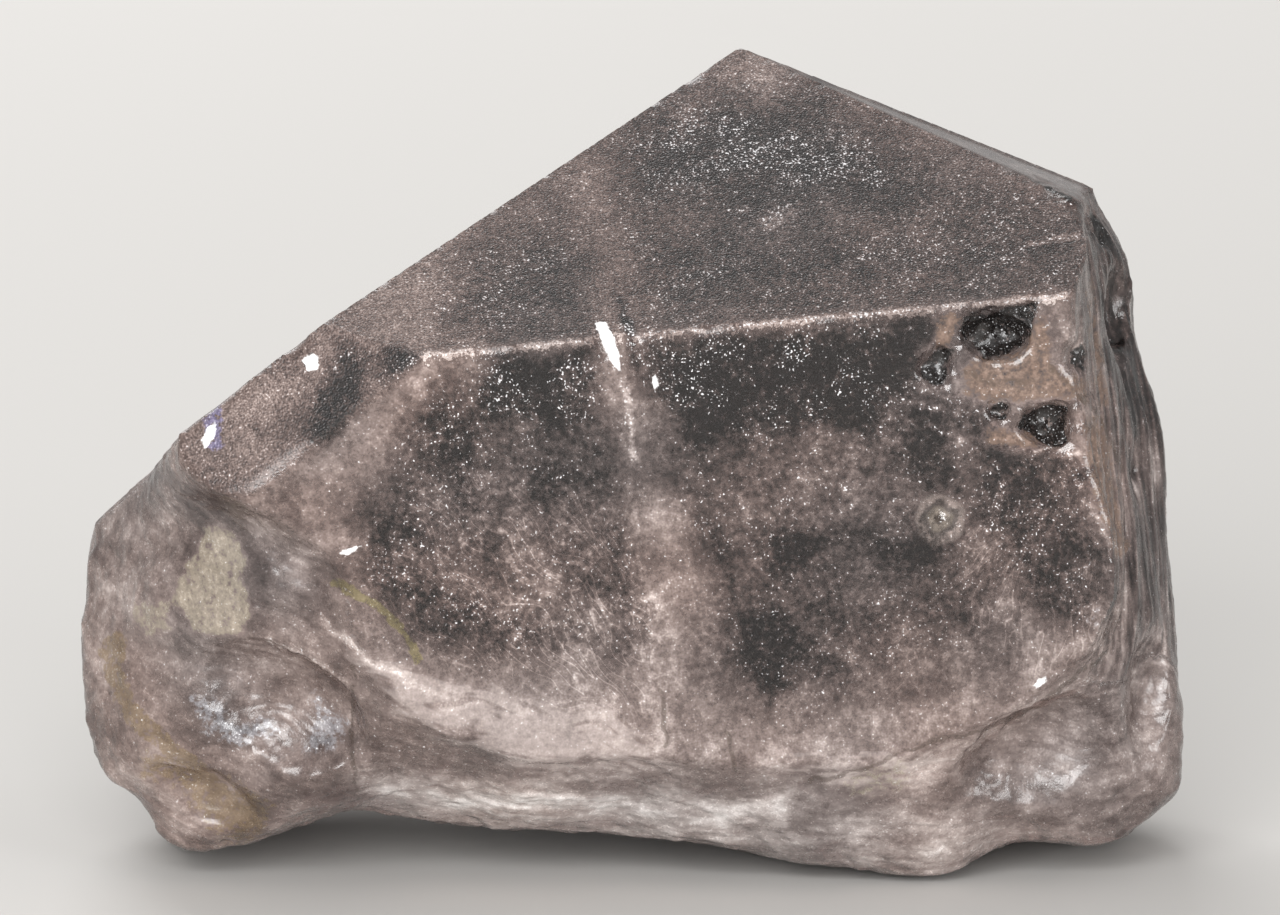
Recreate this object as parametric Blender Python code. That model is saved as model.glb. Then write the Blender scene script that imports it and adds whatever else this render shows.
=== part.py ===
import math

import bmesh
import bpy
from mathutils import Matrix, Vector, noise
from mathutils.bvhtree import BVHTree

# Broken morganite crystal, one piece: a flat-sided point lying on its broken underside.
# It is worked out in a frame that leans back with the crystal (x across, y away, z up along the
# widest outline, millimetres), then turned upright and stood on the ground.

MM = 0.001
LEAN_BACK = math.radians(12.0)
RAY_COUNT = 168
SLICE_COUNT = 27
FRONT_SLICE = -18.0
BACK_SLICE = 23.0
MIDDLE = (2.0, 20.0)
GIRDLE_BACK = 9.5
BACK_DEPTH = 20.0

# Widest outline, from the upper left corner down round the underside to the upper right corner.
# The first and last points stand clear above the flat crystal faces that cut them off.
WIDEST_OUTLINE = (
    (-25.0, 27.0), (-26.7, 22.4), (-28.9, 20.4), (-29.2, 19.3), (-29.6, 17.5), (-29.7, 15.5),
    (-30.05, 14.4), (-30.05, 13.1), (-29.8, 10.4), (-29.7, 8.4), (-29.3, 6.75), (-28.6, 5.45),
    (-28.2, 5.1), (-26.9, 4.7), (-26.5, 4.05), (-26.05, 3.0), (-25.9, 2.5), (-25.4, 1.95),
    (-24.4, 1.5), (-23.3, 1.45), (-22.2, 1.5), (-20.9, 1.85), (-19.5, 2.15), (-18.4, 2.75),
    (-16.9, 3.1), (-16.2, 3.7), (-15.7, 3.85), (-14.9, 3.85), (-13.95, 3.55), (-12.55, 3.35),
    (-7.7, 2.7), (-1.75, 2.5), (1.3, 2.1), (3.4, 1.95), (5.05, 1.65), (6.8, 1.25), (9.15, 0.75),
    (11.85, 0.6), (13.6, 0.3), (16.1, 0.0), (17.1, 0.2), (18.2, 0.6), (19.5, 1.45), (19.85, 1.8),
    (22.0, 2.1), (23.35, 1.9), (24.7, 1.6), (26.45, 2.05), (27.35, 2.6), (28.0, 3.3), (28.9, 4.0),
    (29.85, 4.65), (29.9, 6.8), (30.05, 8.95), (29.65, 11.2), (29.45, 11.9), (29.3, 14.15),
    (29.15, 16.75), (29.0, 18.8), (28.85, 21.9), (28.55, 24.85), (28.2, 26.4), (27.8, 27.45),
    (27.3, 29.6), (27.1, 30.95), (27.25, 32.3), (26.75, 33.75), (26.45, 34.65), (25.8, 35.8),
    (25.4, 36.55), (24.85, 37.4), (24.5, 40.5), (5.8, 52.0), (-12.0, 40.0),
)

# Where the rough rim starts on the front side.
FRONT_OUTLINE = (
    (-24.0, 27.0), (-24.6, 22.6), (-23.0, 20.6), (-20.6, 20.4), (-18.0, 19.0), (-15.6, 16.8),
    (-15.2, 13.0), (-13.6, 10.4), (-10.9, 7.4), (-6.1, 5.9), (1.0, 5.6), (8.0, 5.4), (12.8, 6.1),
    (19.0, 8.3), (22.0, 9.8), (25.4, 12.5), (26.4, 15.2), (26.3, 18.5), (25.2, 23.3), (24.8, 28.7),
    (24.5, 32.0), (24.5, 34.7), (24.0, 37.0), (23.0, 41.0), (5.8, 52.0), (-12.0, 40.0),
)

# Where the rough rim ends on the back side.
BACK_OUTLINE = (
    (-24.0, 28.0), (-25.5, 20.0), (-25.0, 14.0), (-23.5, 9.0), (-20.0, 7.0), (-12.0, 7.8),
    (-4.0, 6.6), (4.0, 7.0), (12.0, 6.0), (18.0, 6.4), (23.0, 7.5), (26.0, 11.0), (26.5, 18.0),
    (26.0, 25.0), (24.5, 32.0), (22.0, 40.0), (5.8, 52.0), (-12.0, 40.0),
)

# Corner points of the flat crystal faces.
RIDGE_LEFT = Vector((-11.4, -15.0, 28.3))
RIDGE_RIGHT = Vector((23.25, -13.0, 31.6))
APEX = Vector((5.8, 3.0, 45.1))
STRIP_TOP = Vector((6.6, 2.5, 44.7))
STRIP_LOW = Vector((21.7, -6.35, 37.7))
STRIP_OUTER = Vector((24.4, -1.0, 37.6))
LEFT_SHOULDER = Vector((-16.3, -12.8, 30.2))
LEFT_FOOT = Vector((-26.7, -11.8, 22.35))
FRONT_LEFT_FOOT = Vector((-20.6, -14.2, 21.1))
RIGHT_BACK = Vector((15.0, 14.0, 39.8))
APEX_BACK = Vector((5.8, 7.0, 45.0))
BACK_FACE_POINT = Vector((0.0, 19.0, 20.0))
BACK_FACE_TURN = 0.12
BACK_PYRAMID_RISE = math.radians(30.0)

# Unevenness of the broken surfaces.
CHIP_SIZE = 8.0
CHIP_DEPTH = 1.25
GRAIN_DEPTH = 0.3
GROOVE_DEPTH = 1.6
CALM_WIDTH = 4.0
CALM_SHARE = 0.25
SMOOTHING_ROUNDS = 3
PIT_UNEVENNESS = 0.34
HOLLOW_UNEVENNESS = 0.14
JOIN_TOLERANCE = 2e-6

# Raised blocks of the broken left end: middle, half size, outward lift, sharpness of the border.
LEFT_BLOCKS = (
    ((-22.6, 15.4), (5.2, 3.4), 1.2, 3.2),
    ((-26.6, 8.4), (2.4, 6.0), 0.7, 2.0),
    ((-16.0, 5.4), (3.2, 2.8), 0.8, 2.0),
)

# Pits: across, up, how far the middle lies under the surface, half sizes, turn.
PITS = (
    ((19.6, 29.3, 0.35), (1.9, 1.2, 1.15), 0.15),
    ((16.1, 27.9, 0.15), (1.15, 0.8, 0.8), -0.7),
    ((19.7, 25.5, 0.05), (0.75, 0.7, 0.6), 0.3),
    ((22.1, 24.6, 0.2), (1.45, 1.2, 1.1), -0.35),
    ((23.6, 28.2, 0.2), (0.7, 0.8, 0.9), 0.2),
    ((22.6, 7.9, 0.0), (0.9, 0.5, 0.75), 0.0),
    ((25.3, 6.6, 0.0), (1.0, 0.6, 0.7), 0.4),
    ((7.7, 35.85, -0.05), (0.8, 0.35, 0.4), -0.5),
    ((22.9, 34.0, 0.0), (1.2, 0.45, 0.5), -0.15),
    ((25.2, 35.2, 0.0), (0.55, 1.2, 0.95), 0.45),
    ((27.2, 22.5, 0.3), (0.5, 1.4, 2.2), 0.12),
    ((-21.6, 16.8, 0.0), (0.7, 0.5, 0.6), 0.0),
    ((-18.6, 25.2, 0.0), (0.5, 0.4, 0.4), 0.0),
    ((-14.6, 18.2, -0.1), (0.7, 0.4, 0.5), 0.6),
    ((16.4, 19.9, -0.75), (1.45, 1.1, 1.35), 0.0),
    ((16.7, 19.8, 0.1), (0.5, 0.55, 0.45), 0.0),
)

# Shallow hollows with crisp borders, on the broken left end and on the right: same order.
HOLLOWS = (
    ((-19.9, 9.0, -1.3), (6.2, 2.6, 3.9), 0.38),
    ((-22.4, 3.4, -1.0), (5.2, 1.8, 2.1), 0.62),
    ((22.4, 5.6, -1.7), (5.6, 2.9, 4.0), -0.45),
    ((28.2, 10.2, -0.9), (1.6, 2.6, 4.2), 0.1),
    ((26.3, 31.0, -0.9), (1.3, 3.0, 2.8), 0.2),
)

# Four-sided notches: the split across the long edge, the crevice by the right shoulder, a crack.
NOTCHES = (
    ((-1.5, 28.6, 0.1), (1.0, 1.3, 2.6), 0.16),
    ((0.0, 29.3, 0.4), (0.6, 2.0, 2.5), -0.12),
    ((1.2, 26.9, 0.1), (0.4, 0.9, 0.8), 0.3),
    ((22.9, 36.6, 0.3), (0.35, 2.6, 2.0), 2.15),
    ((-14.9, 8.0, -0.1), (0.28, 1.2, 4.0), 0.03),
)


def clear_objects():
    """Remove whatever the scene holds."""
    for thing in list(bpy.data.objects):
        bpy.data.objects.remove(thing, do_unlink=True)


def reach(outline, angle):
    """Distance from the middle to an outline, along one ray."""
    direction = Vector((math.cos(angle), math.sin(angle)))
    middle = Vector(MIDDLE)
    best = 0.0
    count = len(outline)
    for index in range(count):
        start = Vector(outline[index]) - middle
        side = Vector(outline[(index + 1) % count]) - Vector(outline[index])
        cross = direction.x * side.y - direction.y * side.x
        if abs(cross) < 1e-9:
            continue
        along = (start.x * side.y - start.y * side.x) / cross
        share = (start.x * direction.y - start.y * direction.x) / cross
        if along > 0.0 and -1e-6 <= share <= 1.0 + 1e-6:
            best = max(best, along)
    return best


def plane_normal(first, second, third, outward):
    """Unit normal of the plane through three points, on the outward side."""
    normal = (second - first).cross(third - first).normalized()
    if normal.dot(outward) < 0.0:
        normal.negate()
    return normal


def front_face_normal():
    """The front face stands upright once the crystal is on the ground."""
    ridge = RIDGE_RIGHT - RIDGE_LEFT
    upright = Vector((0.0, -math.sin(LEAN_BACK), math.cos(LEAN_BACK)))
    normal = ridge.cross(upright).normalized()
    if normal.y > 0.0:
        normal.negate()
    return normal


def front_depth(x, z):
    """How far away the front face is at one spot of the outline."""
    normal = front_face_normal()
    offset = normal.x * (x - RIDGE_LEFT.x) + normal.z * (z - RIDGE_LEFT.z)
    return RIDGE_LEFT.y - offset / normal.y


def crystal_faces():
    """Point and outward normal of every flat growth face."""
    back_normal = Vector((BACK_FACE_TURN, math.cos(LEAN_BACK), math.sin(LEAN_BACK)))
    back_pyramid = Vector((0.0, math.sin(BACK_PYRAMID_RISE), math.cos(BACK_PYRAMID_RISE)))
    up = Vector((0.0, 0.0, 1.0))
    front = Vector((0.0, -1.0, 0.0))
    return (
        (RIDGE_LEFT, front_face_normal()),
        (RIDGE_LEFT, plane_normal(RIDGE_LEFT, RIDGE_RIGHT, APEX, up)),
        (RIDGE_LEFT, plane_normal(RIDGE_LEFT, LEFT_SHOULDER, FRONT_LEFT_FOOT, front)),
        (STRIP_TOP, plane_normal(STRIP_TOP, STRIP_LOW, STRIP_OUTER, up)),
        (APEX, plane_normal(APEX, LEFT_SHOULDER, LEFT_FOOT, up)),
        (APEX, plane_normal(APEX, STRIP_OUTER, RIGHT_BACK, up)),
        (APEX_BACK, back_pyramid),
        (BACK_FACE_POINT, back_normal.normalized()),
    )


def chipped(x, y, z):
    """Shell-like fracture: shallow scallops that meet in sharp lines, 0 to about 1."""
    distances = noise.voronoi(Vector((x, y, z)) / CHIP_SIZE)[0]
    return min(distances[0], 1.0)


def ground_rough(x, y, z):
    """Fine unevenness of a broken surface, -1 to 1."""
    coarse = noise.noise(Vector((x, y, z)) / 3.1)
    fine = noise.noise(Vector((x + 7.0, y, z)) / 1.3)
    return 0.65 * coarse + 0.35 * fine


def long_grooves(x, y, z):
    """Grooves along the crystal's length down its broken right side, 0 to 1."""
    along = z - 0.16 * x
    coarse = noise.noise(Vector((y / 2.3, along / 16.0, 3.0)))
    fine = noise.noise(Vector((y / 1.2, along / 9.0, 8.0)))
    return 0.5 + 0.5 * (0.7 * coarse + 0.3 * fine)


def smooth_step(value):
    """Ease from 0 to 1."""
    share = min(max(value, 0.0), 1.0)
    return share * share * (3.0 - 2.0 * share)


def rim_radius(angle, y, reaches):
    """Radius of the lump at one slice, before the flat faces cut it."""
    front_reach, widest_reach, back_reach = reaches
    x_front = MIDDLE[0] + front_reach * math.cos(angle)
    z_front = MIDDLE[1] + front_reach * math.sin(angle)
    y_front = front_depth(x_front, z_front)
    if y < 0.0:
        share = (y - y_front) / (0.0 - y_front)
        share = max(share, -0.15)
        bulge = math.copysign(math.sin(min(abs(share), 1.0) * math.pi / 2.0) ** 1.15, share)
        radius = front_reach + (widest_reach - front_reach) * bulge
        calm = smooth_step(-y / CALM_WIDTH)
    elif y < GIRDLE_BACK:
        radius = widest_reach
        calm = CALM_SHARE
    else:
        share = (y - GIRDLE_BACK) / (BACK_DEPTH - GIRDLE_BACK)
        radius = widest_reach + (back_reach - widest_reach) * (1.0 - math.cos(share * math.pi / 2.0))
        calm = smooth_step((y - GIRDLE_BACK) / CALM_WIDTH)
    x = MIDDLE[0] + radius * math.cos(angle)
    z = MIDDLE[1] + radius * math.sin(angle)
    right_side = smooth_step((x - 21.0) / 3.0) * smooth_step((z - 8.0) / 6.0)
    grain = GRAIN_DEPTH * ground_rough(x, y, z)
    chips = CHIP_DEPTH * chipped(x, y, z) + grain
    grooves = GROOVE_DEPTH * long_grooves(x, y, z) + grain
    return radius - calm * (chips * (1.0 - right_side) + grooves * right_side)


def rough_lump():
    """Lofted lump with the broken outline, its rings bridged from front to back."""
    mesh = bmesh.new()
    angles = [math.tau * index / RAY_COUNT for index in range(RAY_COUNT)]
    reaches = []
    for angle in angles:
        reaches.append((
            reach(FRONT_OUTLINE, angle),
            reach(WIDEST_OUTLINE, angle),
            reach(BACK_OUTLINE, angle),
        ))
    rings = []
    for step in range(SLICE_COUNT):
        y = FRONT_SLICE + (BACK_SLICE - FRONT_SLICE) * step / (SLICE_COUNT - 1)
        ring = bmesh.ops.create_circle(mesh, segments=RAY_COUNT, radius=1.0)["verts"]
        for vert, angle, ray in zip(ring, angles, reaches):
            radius = rim_radius(angle, y, ray)
            vert.co = Vector((
                MIDDLE[0] + radius * math.cos(angle),
                y,
                MIDDLE[1] + radius * math.sin(angle),
            ))
        rings.append(ring)
    loops = []
    for ring in rings:
        members = set(ring)
        loops.append([edge for edge in mesh.edges if edge.verts[0] in members])
    for near, far in zip(loops, loops[1:]):
        bmesh.ops.bridge_loops(mesh, edges=near + far)
    for loop in (loops[0], loops[-1]):
        bmesh.ops.edgeloop_fill(mesh, edges=loop)
    bmesh.ops.recalc_face_normals(mesh, faces=mesh.faces[:])
    return mesh


def raise_block(mesh, centre, size, lift, sharpness):
    """Bring the front side forward round one spot."""
    middle = Vector(centre)
    for vert in mesh.verts:
        if vert.co.y > 1.0:
            continue
        across = (vert.co.x - middle.x) / size[0]
        up = (vert.co.z - middle.y) / size[1]
        distance = math.hypot(across, up)
        vert.co.y -= lift * smooth_step((1.0 - distance) * sharpness)


def shape_left_end(mesh):
    """Smooth fracture with raised blocks on the broken left end."""
    front_left = [vert for vert in mesh.verts if vert.co.y < -1.5 and vert.co.x < -10.0]
    for _ in range(SMOOTHING_ROUNDS):
        bmesh.ops.smooth_vert(
            mesh, verts=front_left, factor=0.5, use_axis_x=True, use_axis_y=True, use_axis_z=True)
    for centre, size, lift, sharpness in LEFT_BLOCKS:
        raise_block(mesh, centre, size, lift, sharpness)


def cut_flat(mesh, point, normal):
    """Cut everything outside one plane away and close the cut with one flat face."""
    parts = mesh.verts[:] + mesh.edges[:] + mesh.faces[:]
    result = bmesh.ops.bisect_plane(
        mesh, geom=parts, dist=0.00001, plane_co=point, plane_no=normal, clear_outer=True)
    edges = [item for item in result["geom_cut"] if isinstance(item, bmesh.types.BMEdge)]
    open_edges = [edge for edge in edges if edge.is_valid and edge.is_boundary]
    if open_edges:
        bmesh.ops.holes_fill(mesh, edges=open_edges, sides=0)
    bmesh.ops.recalc_face_normals(mesh, faces=mesh.faces[:])


def mesh_object(name, mesh):
    """Scene object from a mesh under construction, scaled to metres and leaned back."""
    data = bpy.data.meshes.new(name)
    upright = Matrix.Rotation(-LEAN_BACK, 4, "X") @ Matrix.Scale(MM, 4)
    mesh.transform(upright)
    mesh.to_mesh(data)
    mesh.free()
    thing = bpy.data.objects.new(name, data)
    bpy.context.scene.collection.objects.link(thing)
    return thing


def on_surface(tree, place):
    """Spot under the side that faces forward: across, up, straight in, in millimetres."""
    across, up, inward = place
    start = Vector((across, FRONT_SLICE * 2.0, up))
    spot = tree.ray_cast(start, Vector((0.0, 1.0, 0.0)))[0]
    return spot + Vector((0.0, inward, 0.0))


def placed(centre, turn, size):
    """Size a cutter, turn it in the front view and put it in place."""
    return (
        Matrix.Translation(centre)
        @ Matrix.Rotation(turn, 4, "Y")
        @ Matrix.Diagonal((size[0], size[1], size[2], 1.0)))


def ball_cutters(tree, name, spots, unevenness, fineness):
    """Lumpy balls, one for each pit or hollow."""
    cutters = []
    for index, (place, size, turn) in enumerate(spots):
        mesh = bmesh.new()
        bmesh.ops.create_icosphere(mesh, subdivisions=fineness, radius=1.0)
        shift = Vector((index * 3.7, index * 1.9, 0.0))
        for vert in mesh.verts:
            vert.co *= 1.0 + unevenness * noise.noise(vert.co * 1.6 + shift)
        mesh.transform(placed(on_surface(tree, place), turn, size))
        cutters.append(mesh_object("%s_%02d" % (name, index), mesh))
    return cutters


def notch_cutters(tree):
    """Four-sided points that go in from the front."""
    cutters = []
    for index, (place, size, turn) in enumerate(NOTCHES):
        mesh = bmesh.new()
        bmesh.ops.create_cone(
            mesh, cap_ends=True, segments=4, radius1=1.0, radius2=0.02, depth=1.0)
        inwards = Matrix.Rotation(math.radians(-90.0), 4, "X")
        mesh.transform(placed(on_surface(tree, place), turn, size) @ inwards)
        cutters.append(mesh_object("notch_%02d" % index, mesh))
    return cutters


def cut_with(body, cutters):
    """Take every cutter away from the body."""
    for cutter in cutters:
        cutter.hide_render = True
        cutter.display_type = "WIRE"
        cut = body.modifiers.new(cutter.name, "BOOLEAN")
        cut.operation = "DIFFERENCE"
        cut.solver = "EXACT"
        cut.object = cutter
    bpy.context.view_layer.update()
    graph = bpy.context.evaluated_depsgraph_get()
    data = bpy.data.meshes.new_from_object(body.evaluated_get(graph))
    body.modifiers.clear()
    body.data = data
    for cutter in cutters:
        bpy.data.objects.remove(cutter, do_unlink=True)


def stand_on_ground(body):
    """Give the lowest lobes flat feet on the ground and put the origin under the middle."""
    mesh = bmesh.new()
    mesh.from_mesh(body.data)
    parts = mesh.verts[:] + mesh.edges[:] + mesh.faces[:]
    result = bmesh.ops.bisect_plane(
        mesh, geom=parts, dist=1e-7, plane_co=(0.0, 0.0, 0.0), plane_no=(0.0, 0.0, -1.0),
        clear_outer=True)
    edges = [item for item in result["geom_cut"] if isinstance(item, bmesh.types.BMEdge)]
    bmesh.ops.holes_fill(mesh, edges=[edge for edge in edges if edge.is_boundary], sides=0)
    bmesh.ops.triangulate(mesh, faces=[face for face in mesh.faces if len(face.verts) > 3])
    bmesh.ops.dissolve_degenerate(mesh, dist=JOIN_TOLERANCE, edges=mesh.edges[:])
    bmesh.ops.triangulate(mesh, faces=[face for face in mesh.faces if len(face.verts) > 3])
    bmesh.ops.recalc_face_normals(mesh, faces=mesh.faces[:])
    xs = [vert.co.x for vert in mesh.verts]
    ys = [vert.co.y for vert in mesh.verts]
    middle = Vector(((min(xs) + max(xs)) / 2.0, (min(ys) + max(ys)) / 2.0, 0.0))
    bmesh.ops.translate(mesh, verts=mesh.verts[:], vec=-middle)
    mesh.to_mesh(body.data)
    mesh.free()


def morganite_material():
    """Pale pinkish-grey beryl."""
    material = bpy.data.materials.new("morganite")
    material.use_nodes = True
    shader = material.node_tree.nodes["Principled BSDF"]
    shader.inputs["Base Color"].default_value = (0.42, 0.35, 0.32, 1.0)
    shader.inputs["Roughness"].default_value = 0.3
    shader.inputs["Metallic"].default_value = 0.0
    material.diffuse_color = (0.42, 0.35, 0.32, 1.0)
    return material


def build_crystal():
    """The whole crystal as one solid."""
    mesh = rough_lump()
    shape_left_end(mesh)
    for point, normal in crystal_faces():
        cut_flat(mesh, point, normal)
    bmesh.ops.triangulate(mesh, faces=[face for face in mesh.faces if len(face.verts) > 4])
    tree = BVHTree.FromBMesh(mesh)
    hollows = ball_cutters(tree, "hollow", HOLLOWS, HOLLOW_UNEVENNESS, 3)
    details = ball_cutters(tree, "pit", PITS, PIT_UNEVENNESS, 2) + notch_cutters(tree)
    body = mesh_object("crystal", mesh)
    cut_with(body, hollows)
    cut_with(body, details)
    stand_on_ground(body)
    body.data.materials.clear()
    body.data.materials.append(morganite_material())
    return body


def main():
    """Build the part."""
    clear_objects()
    build_crystal()


main()
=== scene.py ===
import math
from functools import partial

import bmesh
import bpy
import numpy as np
from bpy.props import FloatProperty, FloatVectorProperty, IntProperty, PointerProperty
from mathutils import Matrix, Vector, noise


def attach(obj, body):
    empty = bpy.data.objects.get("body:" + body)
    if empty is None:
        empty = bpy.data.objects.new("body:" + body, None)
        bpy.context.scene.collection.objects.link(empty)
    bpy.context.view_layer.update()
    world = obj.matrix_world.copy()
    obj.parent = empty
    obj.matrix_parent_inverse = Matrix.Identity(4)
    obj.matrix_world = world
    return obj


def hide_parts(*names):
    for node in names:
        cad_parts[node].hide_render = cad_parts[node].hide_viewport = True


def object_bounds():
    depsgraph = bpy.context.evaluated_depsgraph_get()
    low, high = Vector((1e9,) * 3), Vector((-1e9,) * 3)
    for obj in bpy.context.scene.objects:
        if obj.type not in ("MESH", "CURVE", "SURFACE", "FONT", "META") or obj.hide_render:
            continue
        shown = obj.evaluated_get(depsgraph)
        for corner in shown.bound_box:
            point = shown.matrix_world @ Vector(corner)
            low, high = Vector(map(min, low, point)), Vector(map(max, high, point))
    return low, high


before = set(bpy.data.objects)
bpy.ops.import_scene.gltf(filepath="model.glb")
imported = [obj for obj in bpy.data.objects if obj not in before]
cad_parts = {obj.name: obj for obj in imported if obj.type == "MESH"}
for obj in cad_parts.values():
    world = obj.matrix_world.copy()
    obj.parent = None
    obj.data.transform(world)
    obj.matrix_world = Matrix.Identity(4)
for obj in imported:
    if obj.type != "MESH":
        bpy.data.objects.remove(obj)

bl_info = {
    "name": "Broken morganite crystal",
    "version": (1, 0, 0),
    "blender": (4, 5, 0),
    "location": "View3D > Sidebar > Crystal",
    "description": "Builds a broken, pale pink beryl crystal with its marks and a plain studio",
    "category": "Add Mesh",
}

CAD_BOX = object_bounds()
MM = 0.001

# The crystal leans back by twelve degrees. Its faces and marks are laid out in a frame that leans
# with it: x across, y away and z up along the widest outline, in millimetres.
LEAN_BACK = math.radians(12.0)
FRAME_SHIFT = Vector((0.008, -8.032, 0.0))
UPRIGHT = Matrix.Rotation(-LEAN_BACK, 3, "X")

# Corners of the flat growth faces.
RIDGE_LEFT = Vector((-11.4, -15.0, 28.3))
RIDGE_RIGHT = Vector((23.25, -13.0, 31.6))
APEX = Vector((5.8, 3.0, 45.1))
STRIP_TOP = Vector((6.6, 2.5, 44.7))
STRIP_LOW = Vector((21.7, -6.35, 37.7))
STRIP_OUTER = Vector((24.4, -1.0, 37.6))
LEFT_SHOULDER = Vector((-16.3, -12.8, 30.2))
LEFT_FOOT = Vector((-26.7, -11.8, 22.35))
FRONT_LEFT_FOOT = Vector((-20.6, -14.2, 21.1))
RIGHT_BACK = Vector((15.0, 14.0, 39.8))
APEX_BACK = Vector((5.8, 7.0, 45.0))
BACK_FACE_POINT = Vector((0.0, 19.0, 20.0))
BACK_FACE_TURN = 0.12
BACK_PYRAMID_RISE = math.radians(30.0)

# Places of the front that are evened out: across and up, radius, amount.
CALMED = (
    ((-22.6, 21.6), 4.8, 300.0),
    ((-19.5, 10.5), 8.4, 2500.0),
    ((-24.0, 15.0), 5.5, 400.0),
    ((-14.4, 13.5), 5.0, 300.0),
    ((-19.0, 14.0), 5.0, 300.0),
    ((23.2, 6.4), 7.0, 1500.0),
)

# Middle of the small round growth ring on the front face, and of the fan of hairs, across and up.
RING = (16.4, 19.6)
FAN = (22.5, 23.9)

# Seed of the noise vectors that let the borders of the marks wander.
NOISE_SEED = 7

# Picture of the front: its middle across and up, and its width, in the leaning frame.
VIEW_MIDDLE = (0.4, 22.9)
VIEW_WIDTH = 69.1

# Even mesh: how near points merge, and how far forward and how far back its finer faces reach.
MERGE_REACH = 0.001
FINE_FACING = 0.12
FINE_BACK_END = 1.0
FLAT_ROUNDS = 6
SHARP_ANGLE = math.radians(28.0)

# Pits and dust: only in front of this depth, how much a pit spreads and how rough dust is.
FRONT_DEPTH = -2.0
PIT_SPREAD = 0.1
DUST_ROUGHNESS = 0.3
ROUGH_FROM = 0.05

# Where the flat front runs out softly, and over how many points.
FADE_BELOW = 10.5
FADE_LEFT = -13.0
FADE_RINGS = 4

# Relief of the breaks: height and width of each kind, and the distance it needs to come in.
SWELL = (0.1, 4.2)
LEDGE = (0.1, 7.5)
LEDGES_EACH_WAY = 3.2
LEDGE_BROW = 0.86
CHIP = (0.25, 1.9)
GRAIN = (0.06, 0.6)
GROOVE = (0.55, 1.5)
GROOVE_LENGTH = 16.0
THREAD = (0.2, 0.6)
THREAD_LENGTH = 9.0
GROOVE_SINK = 0.2
HACKLE = (0.5, 1.0)
HACKLE_GRAIN = (0.2, 0.5)
HACKLE_SINK = 0.15
RELIEF_SINK = 0.05
RELIEF_REACH = 0.8

# Grooved right side: where it starts across and up, how softly, and how its grooves lean.
SIDE_START = (22.5, 9.0)
SIDE_SOFTNESS = (3.0, 5.0)
SIDE_SLOPE = 0.16

# Pattern sizes in millimetres: clouds, patches and veils, and the wander of the marks' borders.
CLOUD = 6.5
PATCH = 2.1
VEIL = 1.9
WANDER = 2.6
RIPPLE = 0.8

# Pattern sizes in repeats per millimetre: the speckle and the etched grain.
MOTTLE_PER_MM = 2.5
SUGAR_PER_MM = 9.0

# Grain of the surface: lean of the healed cracks, and repeats across and along each grain.
HAIR_SLANT = math.radians(50.0)
HAIR_GRAIN = (1.5, 0.16)
RAY_GRAIN = (14.0, 0.25)
LAYER_GRAIN = (1.7, 0.3)
FIBRE_GRAIN = (2.4, 0.15)
FAN_FROM = 1.0

# Tone, from 0 clear and dark to 1 milky: the plain stone, and what each thing adds to it. The dark
# of clear stone is painted shade, and part of the pale is painted light.
PLAIN_TONE = 0.47
DARK_TONE = 0.41
PALE_TONE = 0.26
HAIR_TONE = 0.17
BRUISE_TONE = 0.42

# Distance, in millimetres, that stands for too far away to matter.
FAR_AWAY = 9.0

# Colours of the stone from clear and dark to milky: tone and colour. The dark colours are painted
# shade, as though a dark ground showed through the clear stone.
TONE_COLOURS = (
    (0.0, "#443c3c"), (0.2, "#685c5a"), (0.4, "#80726f"), (0.6, "#9e918d"), (0.8, "#c9beba"),
    (1.0, "#f8f2ef"),
)
WARM_LIGHT = "#c79c84"
WARM_SHARE = 0.35
# Painted highlights: the white of the tiny glinting sparks and of the small facets that mirror the
# light.
SPARK_GLINT_COLOUR = "#f8f8fa"
FACET_GLINT_COLOUR = "#ffffff"

# Tints and painted light: kind, colour, pattern that breaks it up, how much, and strength. Yellow,
# tan, stain, olive and crack are the stone's own dusty tints; pink is a painted glow of lit cracks,
# blue and violet are painted glints, and void is painted shade in the pits.
TINTS_AND_PAINTED_LIGHT = (
    ("pink", "#d9cac4", "drawn", 4.0, 0.5),
    ("yellow", "#99927c", "mottle", 4.0, 0.5),
    ("blue", "#d3d8e2", "mottle", 4.0, 0.4),
    ("violet", "#8c8ccc", "mottle", 4.0, 0.5),
    ("tan", "#735e51", "mottle", 3.5, 0.85),
    ("stain", "#8f7856", "mottle", 4.0, 0.65),
    ("olive", "#978a5f", "mottle", 3.0, 0.75),
    ("crack", "#54463c", "mottle", 4.0, 0.55),
    ("void", "#0f0d0c", "mottle", 3.0, 0.95),
)

# Growth ring, from its beige rim in: outer and inner radius of each edge, colour and strength.
RING_BANDS = (
    (1.45, 1.25, "#c8b6ae", 0.75),
    (1.05, 0.9, "#665d59", 0.75),
    (0.74, 0.6, "#c0b1a2", 0.7),
    (0.36, 0.24, "#54453b", 0.8),
)

# How much light goes through clear and through milky stone, and how much dust, the painted glow and
# the painted glints take away.
CLEAR_THROUGH = 0.96
MILKY_THROUGH = 0.05
DUST_AND_PAINTED_LIGHT_BLOCKS = 0.8

# Roughness of the clear face, and what etching, a break and the speckle add to it.
CLEAR_GLOSS = 0.12
FROST_GLOSS = 0.3
BREAK_GLOSS = 0.14
UNEVEN_GLOSS = 0.12

# Relief too fine for the mesh.
BUMP_DEPTH = 0.05
BUMP_STRENGTH = 0.55

# Floor and camera: half the floor's width in metres, sensor width in millimetres.
FLOOR_REACH = 6.0
FLOOR_ROUGHNESS = 0.9
SENSOR_WIDTH = 36.0
CAMERA_REACH = 50.0
ROOM_COLOUR = (1.0, 0.99, 0.98, 1.0)

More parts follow.
